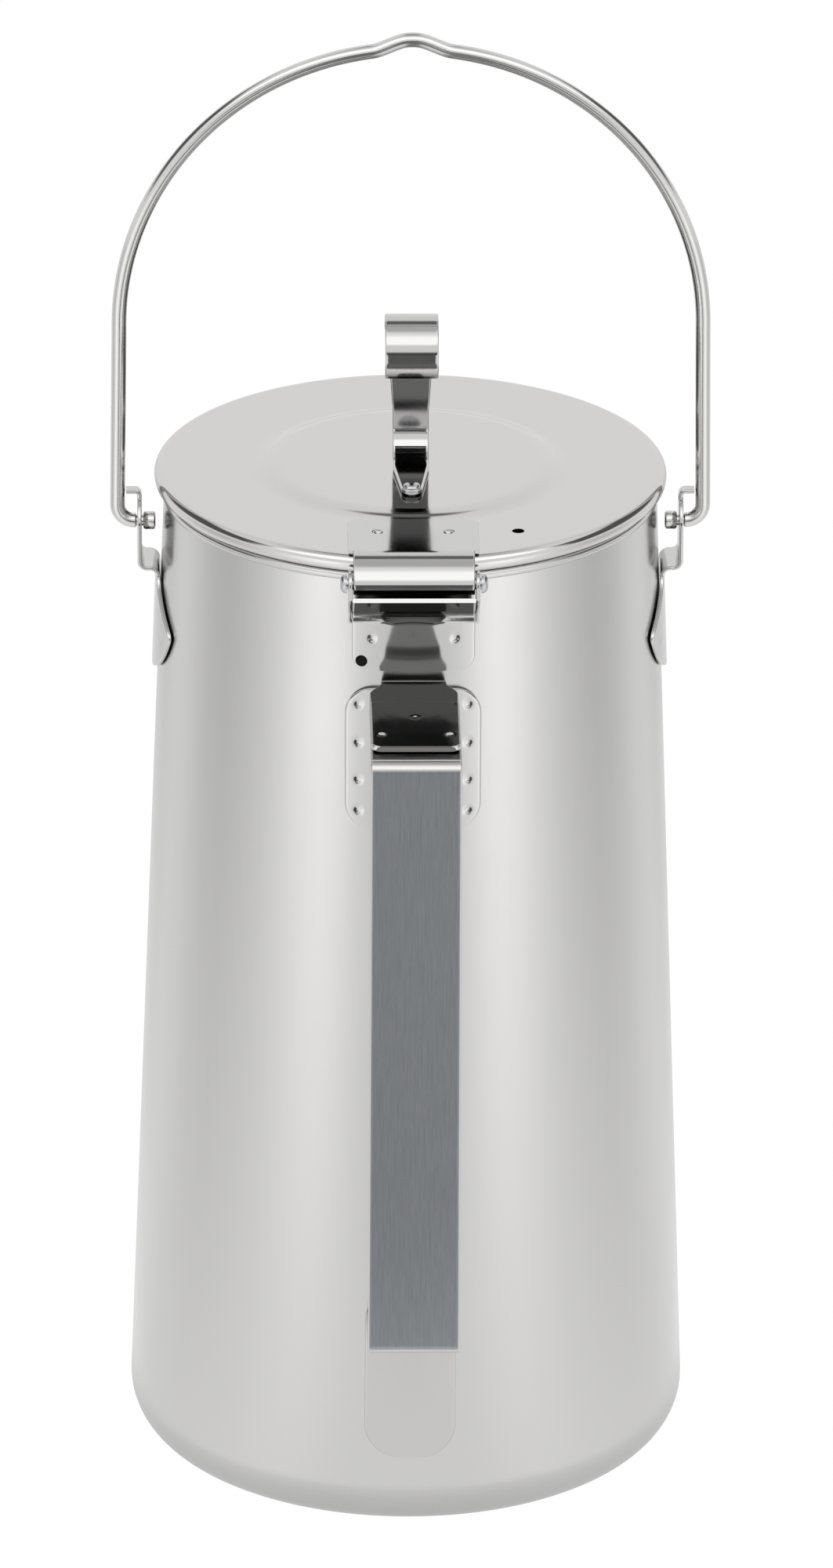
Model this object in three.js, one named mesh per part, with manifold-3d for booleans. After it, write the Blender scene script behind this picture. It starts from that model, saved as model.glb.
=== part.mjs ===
// Tall stainless steel camp kettle: hinged lid, strap handle, wire bail over the top and a beak spout.
// Millimetres. +Z is up, the origin is the centre of the flat base, the handle is on -Y, the spout on +Y.

import * as THREE from 'three';
import { mergeVertices } from 'three/addons/utils/BufferGeometryUtils.js';
import Module from 'manifold-3d';

const wasm = await Module();
wasm.setup();

// Body
const bodyHeight = 210;
const wallRadiusAtBase = 57.8;
const wallRadiusAtRim = 50.1;
const baseCornerRadius = 11.3;
const bodySheet = 0.8;
const rimBeadRadius = 1;

// Strainer holes in the wall behind the spout
const strainerHoleRadius = 2;
const strainerPitch = 6;
const strainerRows = 3;

// Spout
const spoutDrop = 9;
const spoutHeight = 53;
const spoutHalfWidth = 13;
const spoutReach = 24;
const spoutSheet = 0.8;

// Lid
const lidOverhang = 2;
const lidEdgeHeight = 3.6;
const lidSheet = 0.7;
const lidEdgeRoll = 1.75;
const lidHemBend = 1.75;
const lidHemDepth = 3.2;
const lidDiscRadius = 31;
const lidDiscRise = 1.1;
const lidStepWidth = 3;
const steamHoleRadius = 1.25;
const steamHoleOffset = 42.3;
const steamHoleAngle = Math.PI / 6;

// Lift on the lid
const knobSheet = 1;
const knobCurlRadius = 6.5;
const knobHeight = 33.5;
const knobRiserPlace = 0.3;
const knobFootLength = 20.6;
const knobFootBend = 4.5;
const knobCurlSweep = 1.22 * Math.PI;
const knobCurlWidth = 10.8;
const knobRiserTopWidth = 9;
const knobRiserFootWidth = 7.3;
const knobTipRadius = 2.2;
const rivetPlace = 18.4;
const rivetRadius = 1.2;
const rivetHeadRadius = 1.75;
const rivetHeadHeight = 0.9;

// Lid hinge
const pinRadius = 1.2;
const pinDrop = 0.25;
const pinHeadRadius = 1.95;
const pinHeadLength = 1.3;
const leafSheet = 0.9;
const leafWidth = 26.3;
const leafInset = 2.2;
const leafCornerRadius = 2;
const barrelWidth = 24.3;
const leafRollEnd = 0.127 * Math.PI;
const barrelSweep = 1.45 * Math.PI;
const barrelClearance = 0.2;

// Hinge bracket
const lugSheet = 0.8;
const lugMargin = 0.3;
const hingePlateDrop = 20.3;
const hingePlateCornerRadius = 3;
const cradleRadius = 8;
const cradleDrop = 8;
const cradleLipReach = 3.7;
const cradleLipDrop = 2.2;
const drainHoleRadius = 1.2;
const drainHoleInset = 1.9;

// Handle bracket: wall plate and upper arm
const armSheet = 1.2;
const armDrop = 22.3;
const armEndInset = 4.9;
const armNeckWidth = 13.4;
const armWidth = 17.8;
const armFlareStart = 2.5;
const armFlareLength = 5.5;
const armBendRadius = 2;
const armStepPlace = 14.2;
const armStepLength = 2;
const armCornerRadius = 4;
const armEndCorner = 1.5;
const handlePlateWidth = 27.4;
const handlePlateHeight = 30.5;
const handlePlateShoulder = 1.5;
const handlePlateCornerRadius = 5.5;

// Grip strap: upper run, grip, lower arm and foot
const strapSheet = 1.2;
const strapTopWidth = 18;
const strapFootWidth = 18.6;
const strapUpperStart = 16;
const gripReach = 45;
const gripLean = 2.4;
const gripTopBend = 1.8;
const gripBottomBend = 1.5;
const gripBottomHeight = 61.2;
const lowerArmRise = 11.2;
const lowerArmBend = 2.5;
const footBottomHeight = 18.3;
const footCornerRadius = 7;

// Bail ears
const earSheet = 0.85;
const earPivotDrop = 8.3;
const earStandOff = 4.7;
const earEyeRadius = 5.5;
const earWebDrop = 8.5;
const earBendRadius = 1.5;
const earFanHeight = 22;
const earFanRadius = 18.7;
const earFanShoulder = 10.5;
const earNeckBend = 4.4;
const earCornerRadius = 2;
const earTabWidth = 2.7;
const earTabRise = 6.6;
const earTabBend = 0.9;

// Bail
const wireRadius = 1.5;
const wireBend = 3.5;
const bailShoulderLength = 0.4;
const bailArchRise = 42.6;
const bailLegDraw = 0.5;
const bailHump = 2.8;
const bailHumpFlat = 4.5;
const bailHumpEnd = 10.5;
const bailPinRadius = 1.1;
const bailHeadRadius = 1.85;
const bailHeadLength = 2.5;

// Shared clearances and cutting values
const seatGap = 0.3;
const runningGap = 0.2;
const holeClearance = 0.2;
const pinFit = 0.1;
const overrun = 4;
const turnFacets = 64;
const roundFacets = 20;
const wireFacets = 10;
const arcStep = Math.PI / 8;
const fineStep = Math.PI / 24;
const mergeTolerance = 1e-4;

// Places worked out from the sizes
const lidRadius = wallRadiusAtRim + lidOverhang;
const barrelBore = pinRadius + holeClearance;
const barrelRadius = barrelBore + leafSheet;
const pinY = -(lidRadius + barrelClearance + barrelRadius);
const pinZ = bodyHeight - pinDrop;
const lidBottom = bodyHeight + seatGap;
const lidTop = lidBottom + lidEdgeHeight;
const discTop = lidTop + lidDiscRise;
const lugOuter = barrelWidth / 2 + runningGap + lugSheet;
const pivotZ = bodyHeight - earPivotDrop;
const earX = wallRadius(pivotZ) + earStandOff;
const legX = earX + earSheet / 2 + runningGap + bailShoulderLength + wireBend;
const armZ = bodyHeight - armDrop;

// Outer radius of the tapered wall at a height above the base.
function wallRadius(z) {
  return wallRadiusAtBase + ((wallRadiusAtRim - wallRadiusAtBase) * z) / bodyHeight;
}

// From a three.js geometry to a closed solid, and back.

function solid(geometry) {
  const bare = geometry.clone();
  bare.deleteAttribute('normal');
  bare.deleteAttribute('uv');
  const merged = mergeVertices(bare, mergeTolerance);
  const corners = merged.index.array;
  const kept = [];
  for (let i = 0; i < corners.length; i += 3) {
    const [a, b, c] = [corners[i], corners[i + 1], corners[i + 2]];
    if (a !== b && b !== c && c !== a) kept.push(a, b, c);
  }
  const mesh = new wasm.Mesh({
    numProp: 3,
    vertProperties: new Float32Array(merged.attributes.position.array),
    triVerts: new Uint32Array(kept),
  });
  return new wasm.Manifold(mesh);
}

function geometryOf(manifold) {
  const mesh = manifold.getMesh();
  const geometry = new THREE.BufferGeometry();
  geometry.setAttribute('position', new THREE.BufferAttribute(mesh.vertProperties, 3));
  geometry.setIndex(new THREE.BufferAttribute(mesh.triVerts, 1));
  geometry.computeVertexNormals();
  return geometry;
}

// Outlines. A corner is [x, y] or [x, y, radius].

function cornerArc(before, corner, after) {
  const [x, y, radius = 0] = corner;
  const at = new THREE.Vector2(x, y);
  if (radius === 0) return [at];
  const toBefore = new THREE.Vector2(before[0], before[1]).sub(at).normalize();
  const toAfter = new THREE.Vector2(after[0], after[1]).sub(at).normalize();
  const half = Math.acos(THREE.MathUtils.clamp(toBefore.dot(toAfter), -1, 1)) / 2;
  const inward = toBefore.clone().add(toAfter).normalize();
  const centre = at.clone().addScaledVector(inward, radius / Math.sin(half));
  const start = at.clone().addScaledVector(toBefore, radius / Math.tan(half));
  const turn = Math.sign(toAfter.cross(toBefore)) * (Math.PI - 2 * half);
  const steps = Math.max(2, Math.ceil(Math.abs(turn) / arcStep));
  const arc = [];
  for (let i = 0; i <= steps; i++) arc.push(start.clone().rotateAround(centre, (turn * i) / steps));
  return arc;
}

function openLine(corners) {
  const last = corners.length - 1;
  return corners.flatMap((corner, i) => {
    if (i === 0 || i === last) return [new THREE.Vector2(corner[0], corner[1])];
    return cornerArc(corners[i - 1], corner, corners[i + 1]);
  });
}

function closedOutline(corners) {
  const count = corners.length;
  return corners.flatMap((corner, i) =>
    cornerArc(corners[(i + count - 1) % count], corner, corners[(i + 1) % count]));
}

function arcLine(x, y, radius, from, to, step = arcStep) {
  const steps = Math.max(2, Math.ceil(Math.abs(to - from) / step));
  const line = [];
  for (let i = 0; i <= steps; i++) {
    const angle = from + ((to - from) * i) / steps;
    line.push(new THREE.Vector2(x + radius * Math.cos(angle), y + radius * Math.sin(angle)));
  }
  return line;
}

// Closed outline of a sheet that follows a line, half of its thickness on each side of it.
function sheetOutline(line, thickness) {
  const shifted = (side) => line.map((point, i) => {
    const before = line[Math.max(i - 1, 0)];
    const after = line[Math.min(i + 1, line.length - 1)];
    const into = point.clone().sub(before).normalize();
    const out = after.clone().sub(point).normalize();
    const along = into.add(out).normalize();
    const mitre = Math.sqrt((1 + directionChange(before, point, after)) / 2);
    const normal = new THREE.Vector2(-along.y, along.x);
    return point.clone().addScaledVector(normal, (side * thickness) / 2 / mitre);
  });
  return [...shifted(-1), ...shifted(1).reverse()];
}

// Cosine of the turn at the middle of three points, 1 at the ends of a line.
function directionChange(before, point, after) {
  if (before.equals(point) || after.equals(point)) return 1;
  return point.clone().sub(before).normalize().dot(after.clone().sub(point).normalize());
}

// Solids from outlines.

function revolve(profile, facets = turnFacets) {
  return solid(new THREE.LatheGeometry(profile, facets).rotateX(Math.PI / 2));
}

function prism(outline, length) {
  return new THREE.ExtrudeGeometry(new THREE.Shape(outline), { depth: length, bevelEnabled: false });
}

// Outline in Y and Z, carried across X about the middle plane.
function acrossX(outline, width, middle = 0) {
  const turn = new THREE.Matrix4().makeBasis(
    new THREE.Vector3(0, 1, 0), new THREE.Vector3(0, 0, 1), new THREE.Vector3(1, 0, 0));
  return solid(prism(outline, width).applyMatrix4(turn).translate(middle - width / 2, 0, 0));
}

// Outline in X and Z, carried along Y between two places.
function alongY(outline, near, far) {
  return solid(prism(outline, far - near).rotateX(Math.PI / 2).translate(0, far, 0));
}

// Outline in X and Y, carried up between two heights.
function upZ(outline, low, high) {
  return solid(prism(outline, high - low).translate(0, 0, low));
}

function rodAlongX(radius, from, to, y, z) {
  const rod = new THREE.CylinderGeometry(radius, radius, to - from, roundFacets);
  return solid(rod.rotateZ(Math.PI / 2).translate((from + to) / 2, y, z));
}

function rodAlongY(radius, from, to, x, z) {
  const rod = new THREE.CylinderGeometry(radius, radius, to - from, roundFacets);
  return solid(rod.translate(x, (from + to) / 2, z));
}

function rodAlongZ(radius, from, to, x, y) {
  const rod = new THREE.CylinderGeometry(radius, radius, to - from, roundFacets);
  return solid(rod.rotateX(Math.PI / 2).translate(x, y, (from + to) / 2));
}

// Conical layer that follows the wall at a gap, as thick as the sheet, between two heights.
function wallLayer(gap, thickness, low, high) {
  return revolve([
    new THREE.Vector2(wallRadius(low) + gap, low),
    new THREE.Vector2(wallRadius(low) + gap + thickness, low),
    new THREE.Vector2(wallRadius(high) + gap + thickness, high),
    new THREE.Vector2(wallRadius(high) + gap, high),
    new THREE.Vector2(wallRadius(low) + gap, low),
  ]);
}

// Full cone of the wall and the seat gap, to keep a fitted piece off the body.
function wallCore() {
  return revolve([
    new THREE.Vector2(0, -overrun),
    new THREE.Vector2(wallRadius(-overrun) + seatGap, -overrun),
    new THREE.Vector2(wallRadius(bodyHeight + overrun) + seatGap, bodyHeight + overrun),
    new THREE.Vector2(0, bodyHeight + overrun),
  ]);
}

// Y of the middle of a sheet that lies on the front of the wall.
function sheetOnWall(z, thickness) {
  return -(wallRadius(z) + seatGap + thickness / 2);
}

// Body: one drawn shell, its profile thickened from the middle line of the sheet, closed by the rim bead.

function bodyShell() {
  const half = bodySheet / 2;
  const beadZ = bodyHeight - rimBeadRadius;
  const beadX = wallRadius(beadZ) - half;
  const line = openLine([[0, half], [wallRadius(0) - half, half, baseCornerRadius - half], [beadX, beadZ]]);
  const sheet = sheetOutline(line, bodySheet);
  const outside = sheet.slice(0, line.length - 1);
  const inside = sheet.slice(line.length + 1);
  const neck = Math.asin(half / rimBeadRadius);
  const bead = arcLine(beadX, beadZ, rimBeadRadius, neck - Math.PI / 2, 1.5 * Math.PI - neck);
  let body = revolve([...outside, ...bead, ...inside]);
  for (const hole of strainerHoles()) body = body.subtract(hole);
  return body;
}

// Rows of small holes, each row half a pitch aside from the last.
function strainerHoles() {
  const holes = [];
  const near = wallRadius(bodyHeight) - bodySheet - overrun;
  const far = wallRadius(0) + overrun;
  const topZ = bodyHeight - spoutDrop - spoutHeight / 4;
  for (let row = 0; row < strainerRows; row++) {
    const count = strainerRows - row;
    for (let i = 0; i < count; i++) {
      const x = (i - (count - 1) / 2) * strainerPitch;
      const z = topZ - row * strainerPitch * Math.sin(Math.PI / 3);
      holes.push(rodAlongY(strainerHoleRadius, near, far, x, z));
    }
  }
  return holes;
}

// Spout: half of a flattened cone that stands on its point, opened upwards and fitted to the wall.

function spoutCone(halfWidth, reach, height, over) {
  const grow = (height + over) / height;
  const cone = new THREE.ConeGeometry(1, height + over, turnFacets / 2);
  cone.rotateX(-Math.PI / 2).scale(halfWidth * grow, reach * grow, 1);
  const top = bodyHeight - spoutDrop + over;
  return cone.translate(0, wallRadius(bodyHeight - spoutDrop), top - (height + over) / 2);
}

function spout() {
  const outer = solid(spoutCone(spoutHalfWidth, spoutReach, spoutHeight, 0));
  const shorten = (spoutSheet * spoutHeight) / spoutHalfWidth;
  const inner = solid(spoutCone(
    spoutHalfWidth - spoutSheet, spoutReach - spoutSheet, spoutHeight - shorten, overrun));
  return outer.subtract(inner).subtract(wallCore());
}

// Lid: one pressed sheet with a raised disc and a hem that rests on the rim bead.

function lidShell() {
  const half = lidSheet / 2;
  const edge = lidRadius - half;
  const ring = lidTop - half;
  const line = openLine([
    [0, discTop - half],
    [lidDiscRadius - lidStepWidth, discTop - half, lidStepWidth],
    [lidDiscRadius, ring, lidStepWidth],
    [edge, ring, lidEdgeRoll - half],
    [edge, lidBottom + half, lidHemBend - half],
    [edge - lidHemDepth, lidBottom + half],
  ]);
  const steamX = steamHoleOffset * Math.sin(steamHoleAngle);
  const steamY = -steamHoleOffset * Math.cos(steamHoleAngle);
  return revolve(sheetOutline(line, lidSheet))
    .subtract(rodAlongZ(steamHoleRadius, bodyHeight, discTop + overrun, steamX, steamY))
    .subtract(rodAlongZ(rivetRadius + holeClearance, bodyHeight, discTop + overrun, 0, -rivetPlace));
}

// Lift: a strap bent up from its foot and rolled towards the handle, narrowest where it leaves the foot.

function knobStrap() {
  const footZ = discTop + seatGap + knobSheet / 2;
  const curlZ = discTop + knobHeight - knobSheet / 2 - knobCurlRadius;
  const curlY = knobRiserPlace - knobCurlRadius;
  const foot = openLine([[-knobFootLength, footZ], [knobRiserPlace, footZ, knobFootBend], [knobRiserPlace, curlZ]]);
  const curl = arcLine(curlY, curlZ, knobCurlRadius, 0, knobCurlSweep).slice(1);
  const strap = acrossX(sheetOutline([...foot, ...curl], knobSheet), knobCurlWidth);
  const waistZ = footZ + knobFootBend;
  const riserTopZ = curlZ - knobCurlRadius;
  const front = alongY([
    new THREE.Vector2(-knobRiserFootWidth / 2, waistZ),
    new THREE.Vector2(knobRiserFootWidth / 2, waistZ),
    new THREE.Vector2(knobRiserTopWidth / 2, riserTopZ),
    new THREE.Vector2(knobCurlWidth / 2, curlZ),
    new THREE.Vector2(knobCurlWidth / 2, curlZ + knobCurlRadius + overrun),
    new THREE.Vector2(-knobCurlWidth / 2, curlZ + knobCurlRadius + overrun),
    new THREE.Vector2(-knobCurlWidth / 2, curlZ),
    new THREE.Vector2(-knobRiserTopWidth / 2, riserTopZ),
  ], -knobFootLength - overrun, knobRiserPlace + overrun);
  const tipY = -knobFootLength;
  const plan = upZ(closedOutline([
    [-knobRiserFootWidth / 2, knobRiserPlace + overrun],
    [-knobRiserFootWidth / 2, -knobFootBend],
    [-knobTipRadius, tipY, knobTipRadius],
    [knobTipRadius, tipY, knobTipRadius],
    [knobRiserFootWidth / 2, -knobFootBend],
    [knobRiserFootWidth / 2, knobRiserPlace + overrun],
  ]), discTop, waistZ);
  const hole = rodAlongZ(rivetRadius + holeClearance, discTop, discTop + overrun, 0, -rivetPlace);
  return strap.intersect(front.add(plan)).subtract(hole);
}

// Rivet: shank through lift and lid, a domed head above and a flat one below, built about its own axis.

function knobRivet() {
  const strapTop = seatGap + knobSheet;
  const lower = -lidSheet - seatGap;
  const dome = arcLine(0, strapTop + pinFit, rivetHeadHeight, 0, Math.PI / 2)
    .map((point) => new THREE.Vector2((point.x * rivetHeadRadius) / rivetHeadHeight, point.y));
  return revolve([
    new THREE.Vector2(0, lower - rivetHeadHeight),
    new THREE.Vector2(rivetHeadRadius, lower - rivetHeadHeight),
    new THREE.Vector2(rivetHeadRadius, lower),
    new THREE.Vector2(rivetRadius, lower),
    new THREE.Vector2(rivetRadius, strapTop + pinFit),
    ...dome.slice(0, -1),
    new THREE.Vector2(0, strapTop + pinFit + rivetHeadHeight),
  ], roundFacets);
}

// Hinge leaf: lies on the lid, rolls over past its edge and, where it faces forward, curls tighter round the pin.

function hingeLeaf() {
  const middle = barrelBore + leafSheet / 2;
  const leafZ = lidTop + seatGap + leafSheet / 2;
  const rise = Math.sin(leafRollEnd);
  const roll = (leafZ - pinZ - middle * rise) / (1 - rise);
  const rollY = pinY + (roll - middle) * Math.cos(leafRollEnd);
  const turnAt = Math.PI - leafRollEnd;
  const over = arcLine(rollY, leafZ - roll, roll, Math.PI / 2, turnAt, fineStep);
  const curl = arcLine(pinY, pinZ, middle, turnAt, turnAt + barrelSweep).slice(1);
  const backY = -(lidDiscRadius + leafInset);
  const line = [new THREE.Vector2(backY, leafZ), ...over, ...curl];
  const leaf = acrossX(sheetOutline(line, leafSheet), leafWidth);
  const wide = leafWidth / 2;
  const narrow = barrelWidth / 2;
  const stepY = pinY + barrelRadius;
  const plan = upZ(closedOutline([
    [-narrow, pinY - barrelRadius - overrun],
    [narrow, pinY - barrelRadius - overrun],
    [narrow, stepY],
    [wide, stepY + wide - narrow],
    [wide, backY, leafCornerRadius],
    [-wide, backY, leafCornerRadius],
    [-wide, stepY + wide - narrow],
    [-narrow, stepY],
  ]), pinZ - barrelRadius - overrun, lidTop + overrun);
  return leaf.intersect(plan);
}

function hingePin() {
  const shankEnd = lugOuter + seatGap;
  return rodAlongX(pinRadius, -shankEnd - pinHeadLength / 2, shankEnd + pinHeadLength / 2, 0, 0)
    .add(rodAlongX(pinHeadRadius, shankEnd, shankEnd + pinHeadLength, 0, 0))
    .add(rodAlongX(pinHeadRadius, -shankEnd - pinHeadLength, -shankEnd, 0, 0));
}

// Hinge bracket: wall plate, curved out under the barrel as a cradle, with a lug on each side for the pin.

function hingeBracket() {
  const width = 2 * lugOuter - 2 * lugSheet;
  const bottomZ = bodyHeight - hingePlateDrop;
  const cornerZ = pinZ - cradleDrop;
  const lip = [pinY - cradleLipReach, pinZ - cradleLipDrop];
  const onWall = sheetOnWall(cornerZ, leafSheet);
  const line = openLine([[sheetOnWall(bottomZ, leafSheet), bottomZ], [onWall, cornerZ, cradleRadius], lip]);
  const seamZ = line[1].y;
  const half = width / 2;
  const plate = wallLayer(seatGap, leafSheet, bottomZ, seamZ + leafSheet).intersect(alongY(closedOutline([
    [-half, seamZ + overrun],
    [-half, bottomZ, hingePlateCornerRadius],
    [half, bottomZ, hingePlateCornerRadius],
    [half, seamZ + overrun],
  ]), pinY, 0));
  const curveOnly = [line[1].clone().setY(seamZ - leafSheet), ...line.slice(1)];
  let bracket = plate.add(acrossX(sheetOutline(curveOnly, leafSheet), width + 2 * lugSheet - runningGap));
  const eye = barrelRadius + lugMargin;
  const middle = line[Math.ceil(line.length / 2)];
  const lug = [
    new THREE.Vector2(onWall, middle.y - cradleLipDrop),
    middle,
    new THREE.Vector2(lip[0], lip[1]),
    ...arcLine(pinY, pinZ, eye, Math.PI, 0),
    new THREE.Vector2(pinY + eye, pinZ - eye),
  ];
  for (const side of [-1, 1]) bracket = bracket.add(acrossX(lug, lugSheet, side * (lugOuter - lugSheet / 2)));
  return bracket
    .subtract(rodAlongX(pinRadius + pinFit, -lugOuter - overrun, lugOuter + overrun, pinY, pinZ))
    .subtract(rodAlongY(drainHoleRadius, pinY, 0, drainHoleInset - half, bottomZ + drainHoleInset))
    .subtract(wallCore());
}

// Handle bracket: wall plate and the arm bent out of its top, which steps up onto the grip strap.

function handleBracket() {
  const plateTop = armZ - handlePlateShoulder;
  const plateBottom = plateTop - handlePlateHeight;
  const wide = handlePlateWidth / 2;
  const neck = armNeckWidth / 2;
  const plate = wallLayer(seatGap, armSheet, plateBottom, armZ).intersect(alongY(closedOutline([
    [-wide, plateTop, handlePlateCornerRadius],
    [-wide, plateBottom, handlePlateCornerRadius],
    [wide, plateBottom, handlePlateCornerRadius],
    [wide, plateTop, handlePlateCornerRadius],
  ]), pinY - overrun, 0));
  const wallY = sheetOnWall(armZ, armSheet);
  const stepUp = strapSheet / 2 + armSheet / 2 + seatGap;
  const stepY = wallY - armStepPlace;
  const endY = armEndInset - (wallRadius(armZ) + gripReach);
  const line = openLine([
    [sheetOnWall(plateTop - handlePlateCornerRadius, armSheet), plateTop - handlePlateCornerRadius],
    [wallY, armZ, armBendRadius],
    [stepY, armZ, armSheet],
    [stepY - armStepLength, armZ + stepUp, armSheet],
    [endY, armZ + stepUp],
  ]);
  const arm = acrossX(sheetOutline(line, armSheet), handlePlateWidth);
  const flareY = wallY - armFlareStart;
  const fullY = flareY - armFlareLength;
  const half = armWidth / 2;
  const plan = upZ(closedOutline([
    [-neck, 0],
    [-neck, flareY, armBendRadius],
    [-half, fullY, armCornerRadius],
    [-half, endY, armEndCorner],
    [half, endY, armEndCorner],
    [half, fullY, armCornerRadius],
    [neck, flareY, armBendRadius],
    [neck, 0],
  ]), plateBottom, armZ + overrun);
  return plate.add(arm.intersect(plan)).subtract(wallCore());
}

// Grip strap: one strap from under the arm, down the grip, back to the wall and down it as a foot.

function gripStrap() {
  const topY = -(wallRadius(armZ) + gripReach);
  const bottomY = -(wallRadius(gripBottomHeight) + gripReach - gripLean);
  const footTop = gripBottomHeight - lowerArmRise;
  const wallY = sheetOnWall(footTop, strapSheet);
  const line = openLine([
    [sheetOnWall(armZ, armSheet) - strapUpperStart, armZ],
    [topY, armZ, gripTopBend],
    [bottomY, gripBottomHeight, gripBottomBend],
    [wallY, footTop, lowerArmBend],
    [sheetOnWall(footTop - footCornerRadius, strapSheet), footTop - footCornerRadius],
  ]);
  const strap = acrossX(sheetOutline(line, strapSheet), strapFootWidth);
  const top = strapTopWidth / 2;
  const wide = strapFootWidth / 2;
  const front = alongY(closedOutline([
    [-top, armZ + overrun],
    [-wide, footBottomHeight, footCornerRadius],
    [wide, footBottomHeight, footCornerRadius],
    [top, armZ + overrun],
  ]), Math.min(topY, bottomY) - strapSheet - overrun, 0);
  const foot = wallLayer(seatGap, strapSheet, footBottomHeight, footTop - strapSheet).intersect(front);
  return strap.intersect(front).add(foot).subtract(wallCore());
}

// Ear on the -X side: a fan-shaped wall plate, a web bent out to the upright eye, and a tab that rubs the bail.

function ear() {
  const webZ = pivotZ - earWebDrop;
  const fanBottom = webZ - earFanHeight;
  const shoulderZ = webZ - earFanShoulder;
  const neck = earEyeRadius;
  const mid = (radius) => radius + seatGap + earSheet / 2;
  const onX = (outline, near, far) => acrossX(outline, far - near, -(near + far) / 2);
  const fanCentre = fanBottom + earFanRadius;
  const cornerAt = Math.asin((fanCentre - shoulderZ) / earFanRadius);
  const lower = arcLine(0, fanCentre, earFanRadius, cornerAt - Math.PI, -cornerAt, fineStep);
  const atCorner = (i) => i === 0 || i === lower.length - 1;
  const fan = wallLayer(seatGap, earSheet, fanBottom, webZ).intersect(onX(closedOutline([
    [-neck, webZ + overrun],
    [-neck, webZ - earEyeRadius / 2, earNeckBend],
    ...lower.map((point, i) => [point.x, point.y, atCorner(i) ? earCornerRadius : 0]),
    [neck, webZ - earEyeRadius / 2, earNeckBend],
    [neck, webZ + overrun],
  ]), 0, earX));
  const web = openLine([
    [mid(wallRadius(webZ - earNeckBend)), webZ - earNeckBend],
    [mid(wallRadius(webZ)), webZ, earBendRadius],
    [earX, webZ, earBendRadius],
    [earX, pivotZ + earEyeRadius],
  ]);
  const tipX = legX - wireRadius - seatGap;
  const tab = openLine([
    [earX, pivotZ],
    [earX, pivotZ + earTabRise, earTabBend],
    [tipX, pivotZ + earTabRise],
  ]);
  const eye = onX([
    new THREE.Vector2(-neck, webZ - earNeckBend - overrun),
    new THREE.Vector2(neck, webZ - earNeckBend - overrun),
    ...arcLine(0, pivotZ, earEyeRadius, 0, Math.PI),
  ], 0, earX + overrun);
  const sideways = (line) => line.map((point) => new THREE.Vector2(-point.x, point.y));
  const bentWeb = alongY(sideways(sheetOutline(web, earSheet)), -neck, neck).intersect(eye);
  const bentTab = alongY(sideways(sheetOutline(tab, earSheet)), -earTabWidth / 2, earTabWidth / 2);
  const hole = rodAlongX(bailPinRadius + holeClearance, -earX - overrun, -earX + overrun, 0, pivotZ);
  return fan.add(bentWeb).add(bentTab).subtract(hole).subtract(wallCore());
}

// Bail: the wire's middle line about the pivot axis, swept by its round section, with a pin and head at each end.

class WireLine extends THREE.Curve {
  constructor(points) {
    super();
    this.points = points;
  }

  getPoint(t, target = new THREE.Vector3()) {
    const place = THREE.MathUtils.clamp(t, 0, 1) * (this.points.length - 1);
    const i = Math.min(Math.floor(place), this.points.length - 2);
    return target.lerpVectors(this.points[i], this.points[i + 1], place - i);
  }

  getUtoTmapping(u) {
    return u;
  }
}

// Extra height of the crown's hump at a distance from the middle, with smooth shoulders.
function humpAt(x) {
  return bailHump * (1 - THREE.MathUtils.smoothstep(Math.abs(x), bailHumpFlat, bailHumpEnd));
}

function bailLine() {
  const radius = legX - bailLegDraw;
  const shoulder = earX + earSheet / 2 + runningGap;
  const leg = openLine([[shoulder, 0], [legX, 0, wireBend], [radius, bailArchRise]]);
  const humpStart = Math.acos((bailHumpEnd + wireRadius) / radius);
  const arch = arcLine(0, bailArchRise, radius, 0, humpStart, fineStep).slice(1);
  const crown = [];
  const crownSteps = 8;
  for (let i = 1; i < crownSteps; i++) {
    const angle = THREE.MathUtils.lerp(humpStart, Math.PI / 2, i / crownSteps);
    const x = radius * Math.cos(angle);
    crown.push(new THREE.Vector2(x, bailArchRise + radius * Math.sin(angle) + humpAt(x)));
  }
  const half = [...leg, ...arch, ...crown];
  const top = new THREE.Vector2(0, bailArchRise + radius + bailHump);
  const mirrored = half.map((point) => new THREE.Vector2(-point.x, point.y)).reverse();
  return [...half, top, ...mirrored].map((point) => new THREE.Vector3(point.x, 0, point.y));
}

function bailWire() {
  const points = bailLine();
  const section = new THREE.Shape().absarc(0, 0, wireRadius, 0, 2 * Math.PI);
  let wire = solid(new THREE.ExtrudeGeometry(section, {
    steps: points.length - 1,
    curveSegments: wireFacets,
    extrudePath: new WireLine(points),
  }));
  const shoulder = points[0].x;
  const headOuter = earX - earSheet / 2 - seatGap;
  for (const side of [-1, 1]) {
    const pinEnds = [side * (shoulder + wireRadius), side * (headOuter - bailHeadLength / 2)].sort((a, b) => a - b);
    const headEnds = [side * headOuter, side * (headOuter - bailHeadLength)].sort((a, b) => a - b);
    wire = wire.add(rodAlongX(bailPinRadius, pinEnds[0], pinEnds[1], 0, 0));
    wire = wire.add(rodAlongX(bailHeadRadius, headEnds[0], headEnds[1], 0, 0));
  }
  return wire;
}

// Scene graph.

function steel(color, roughness) {
  return new THREE.MeshStandardMaterial({ color, roughness, metalness: 1 });
}

function piece(name, manifold, material) {
  const mesh = new THREE.Mesh(geometryOf(manifold), material);
  mesh.name = name;
  return mesh;
}

const group = new THREE.Group();

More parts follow.
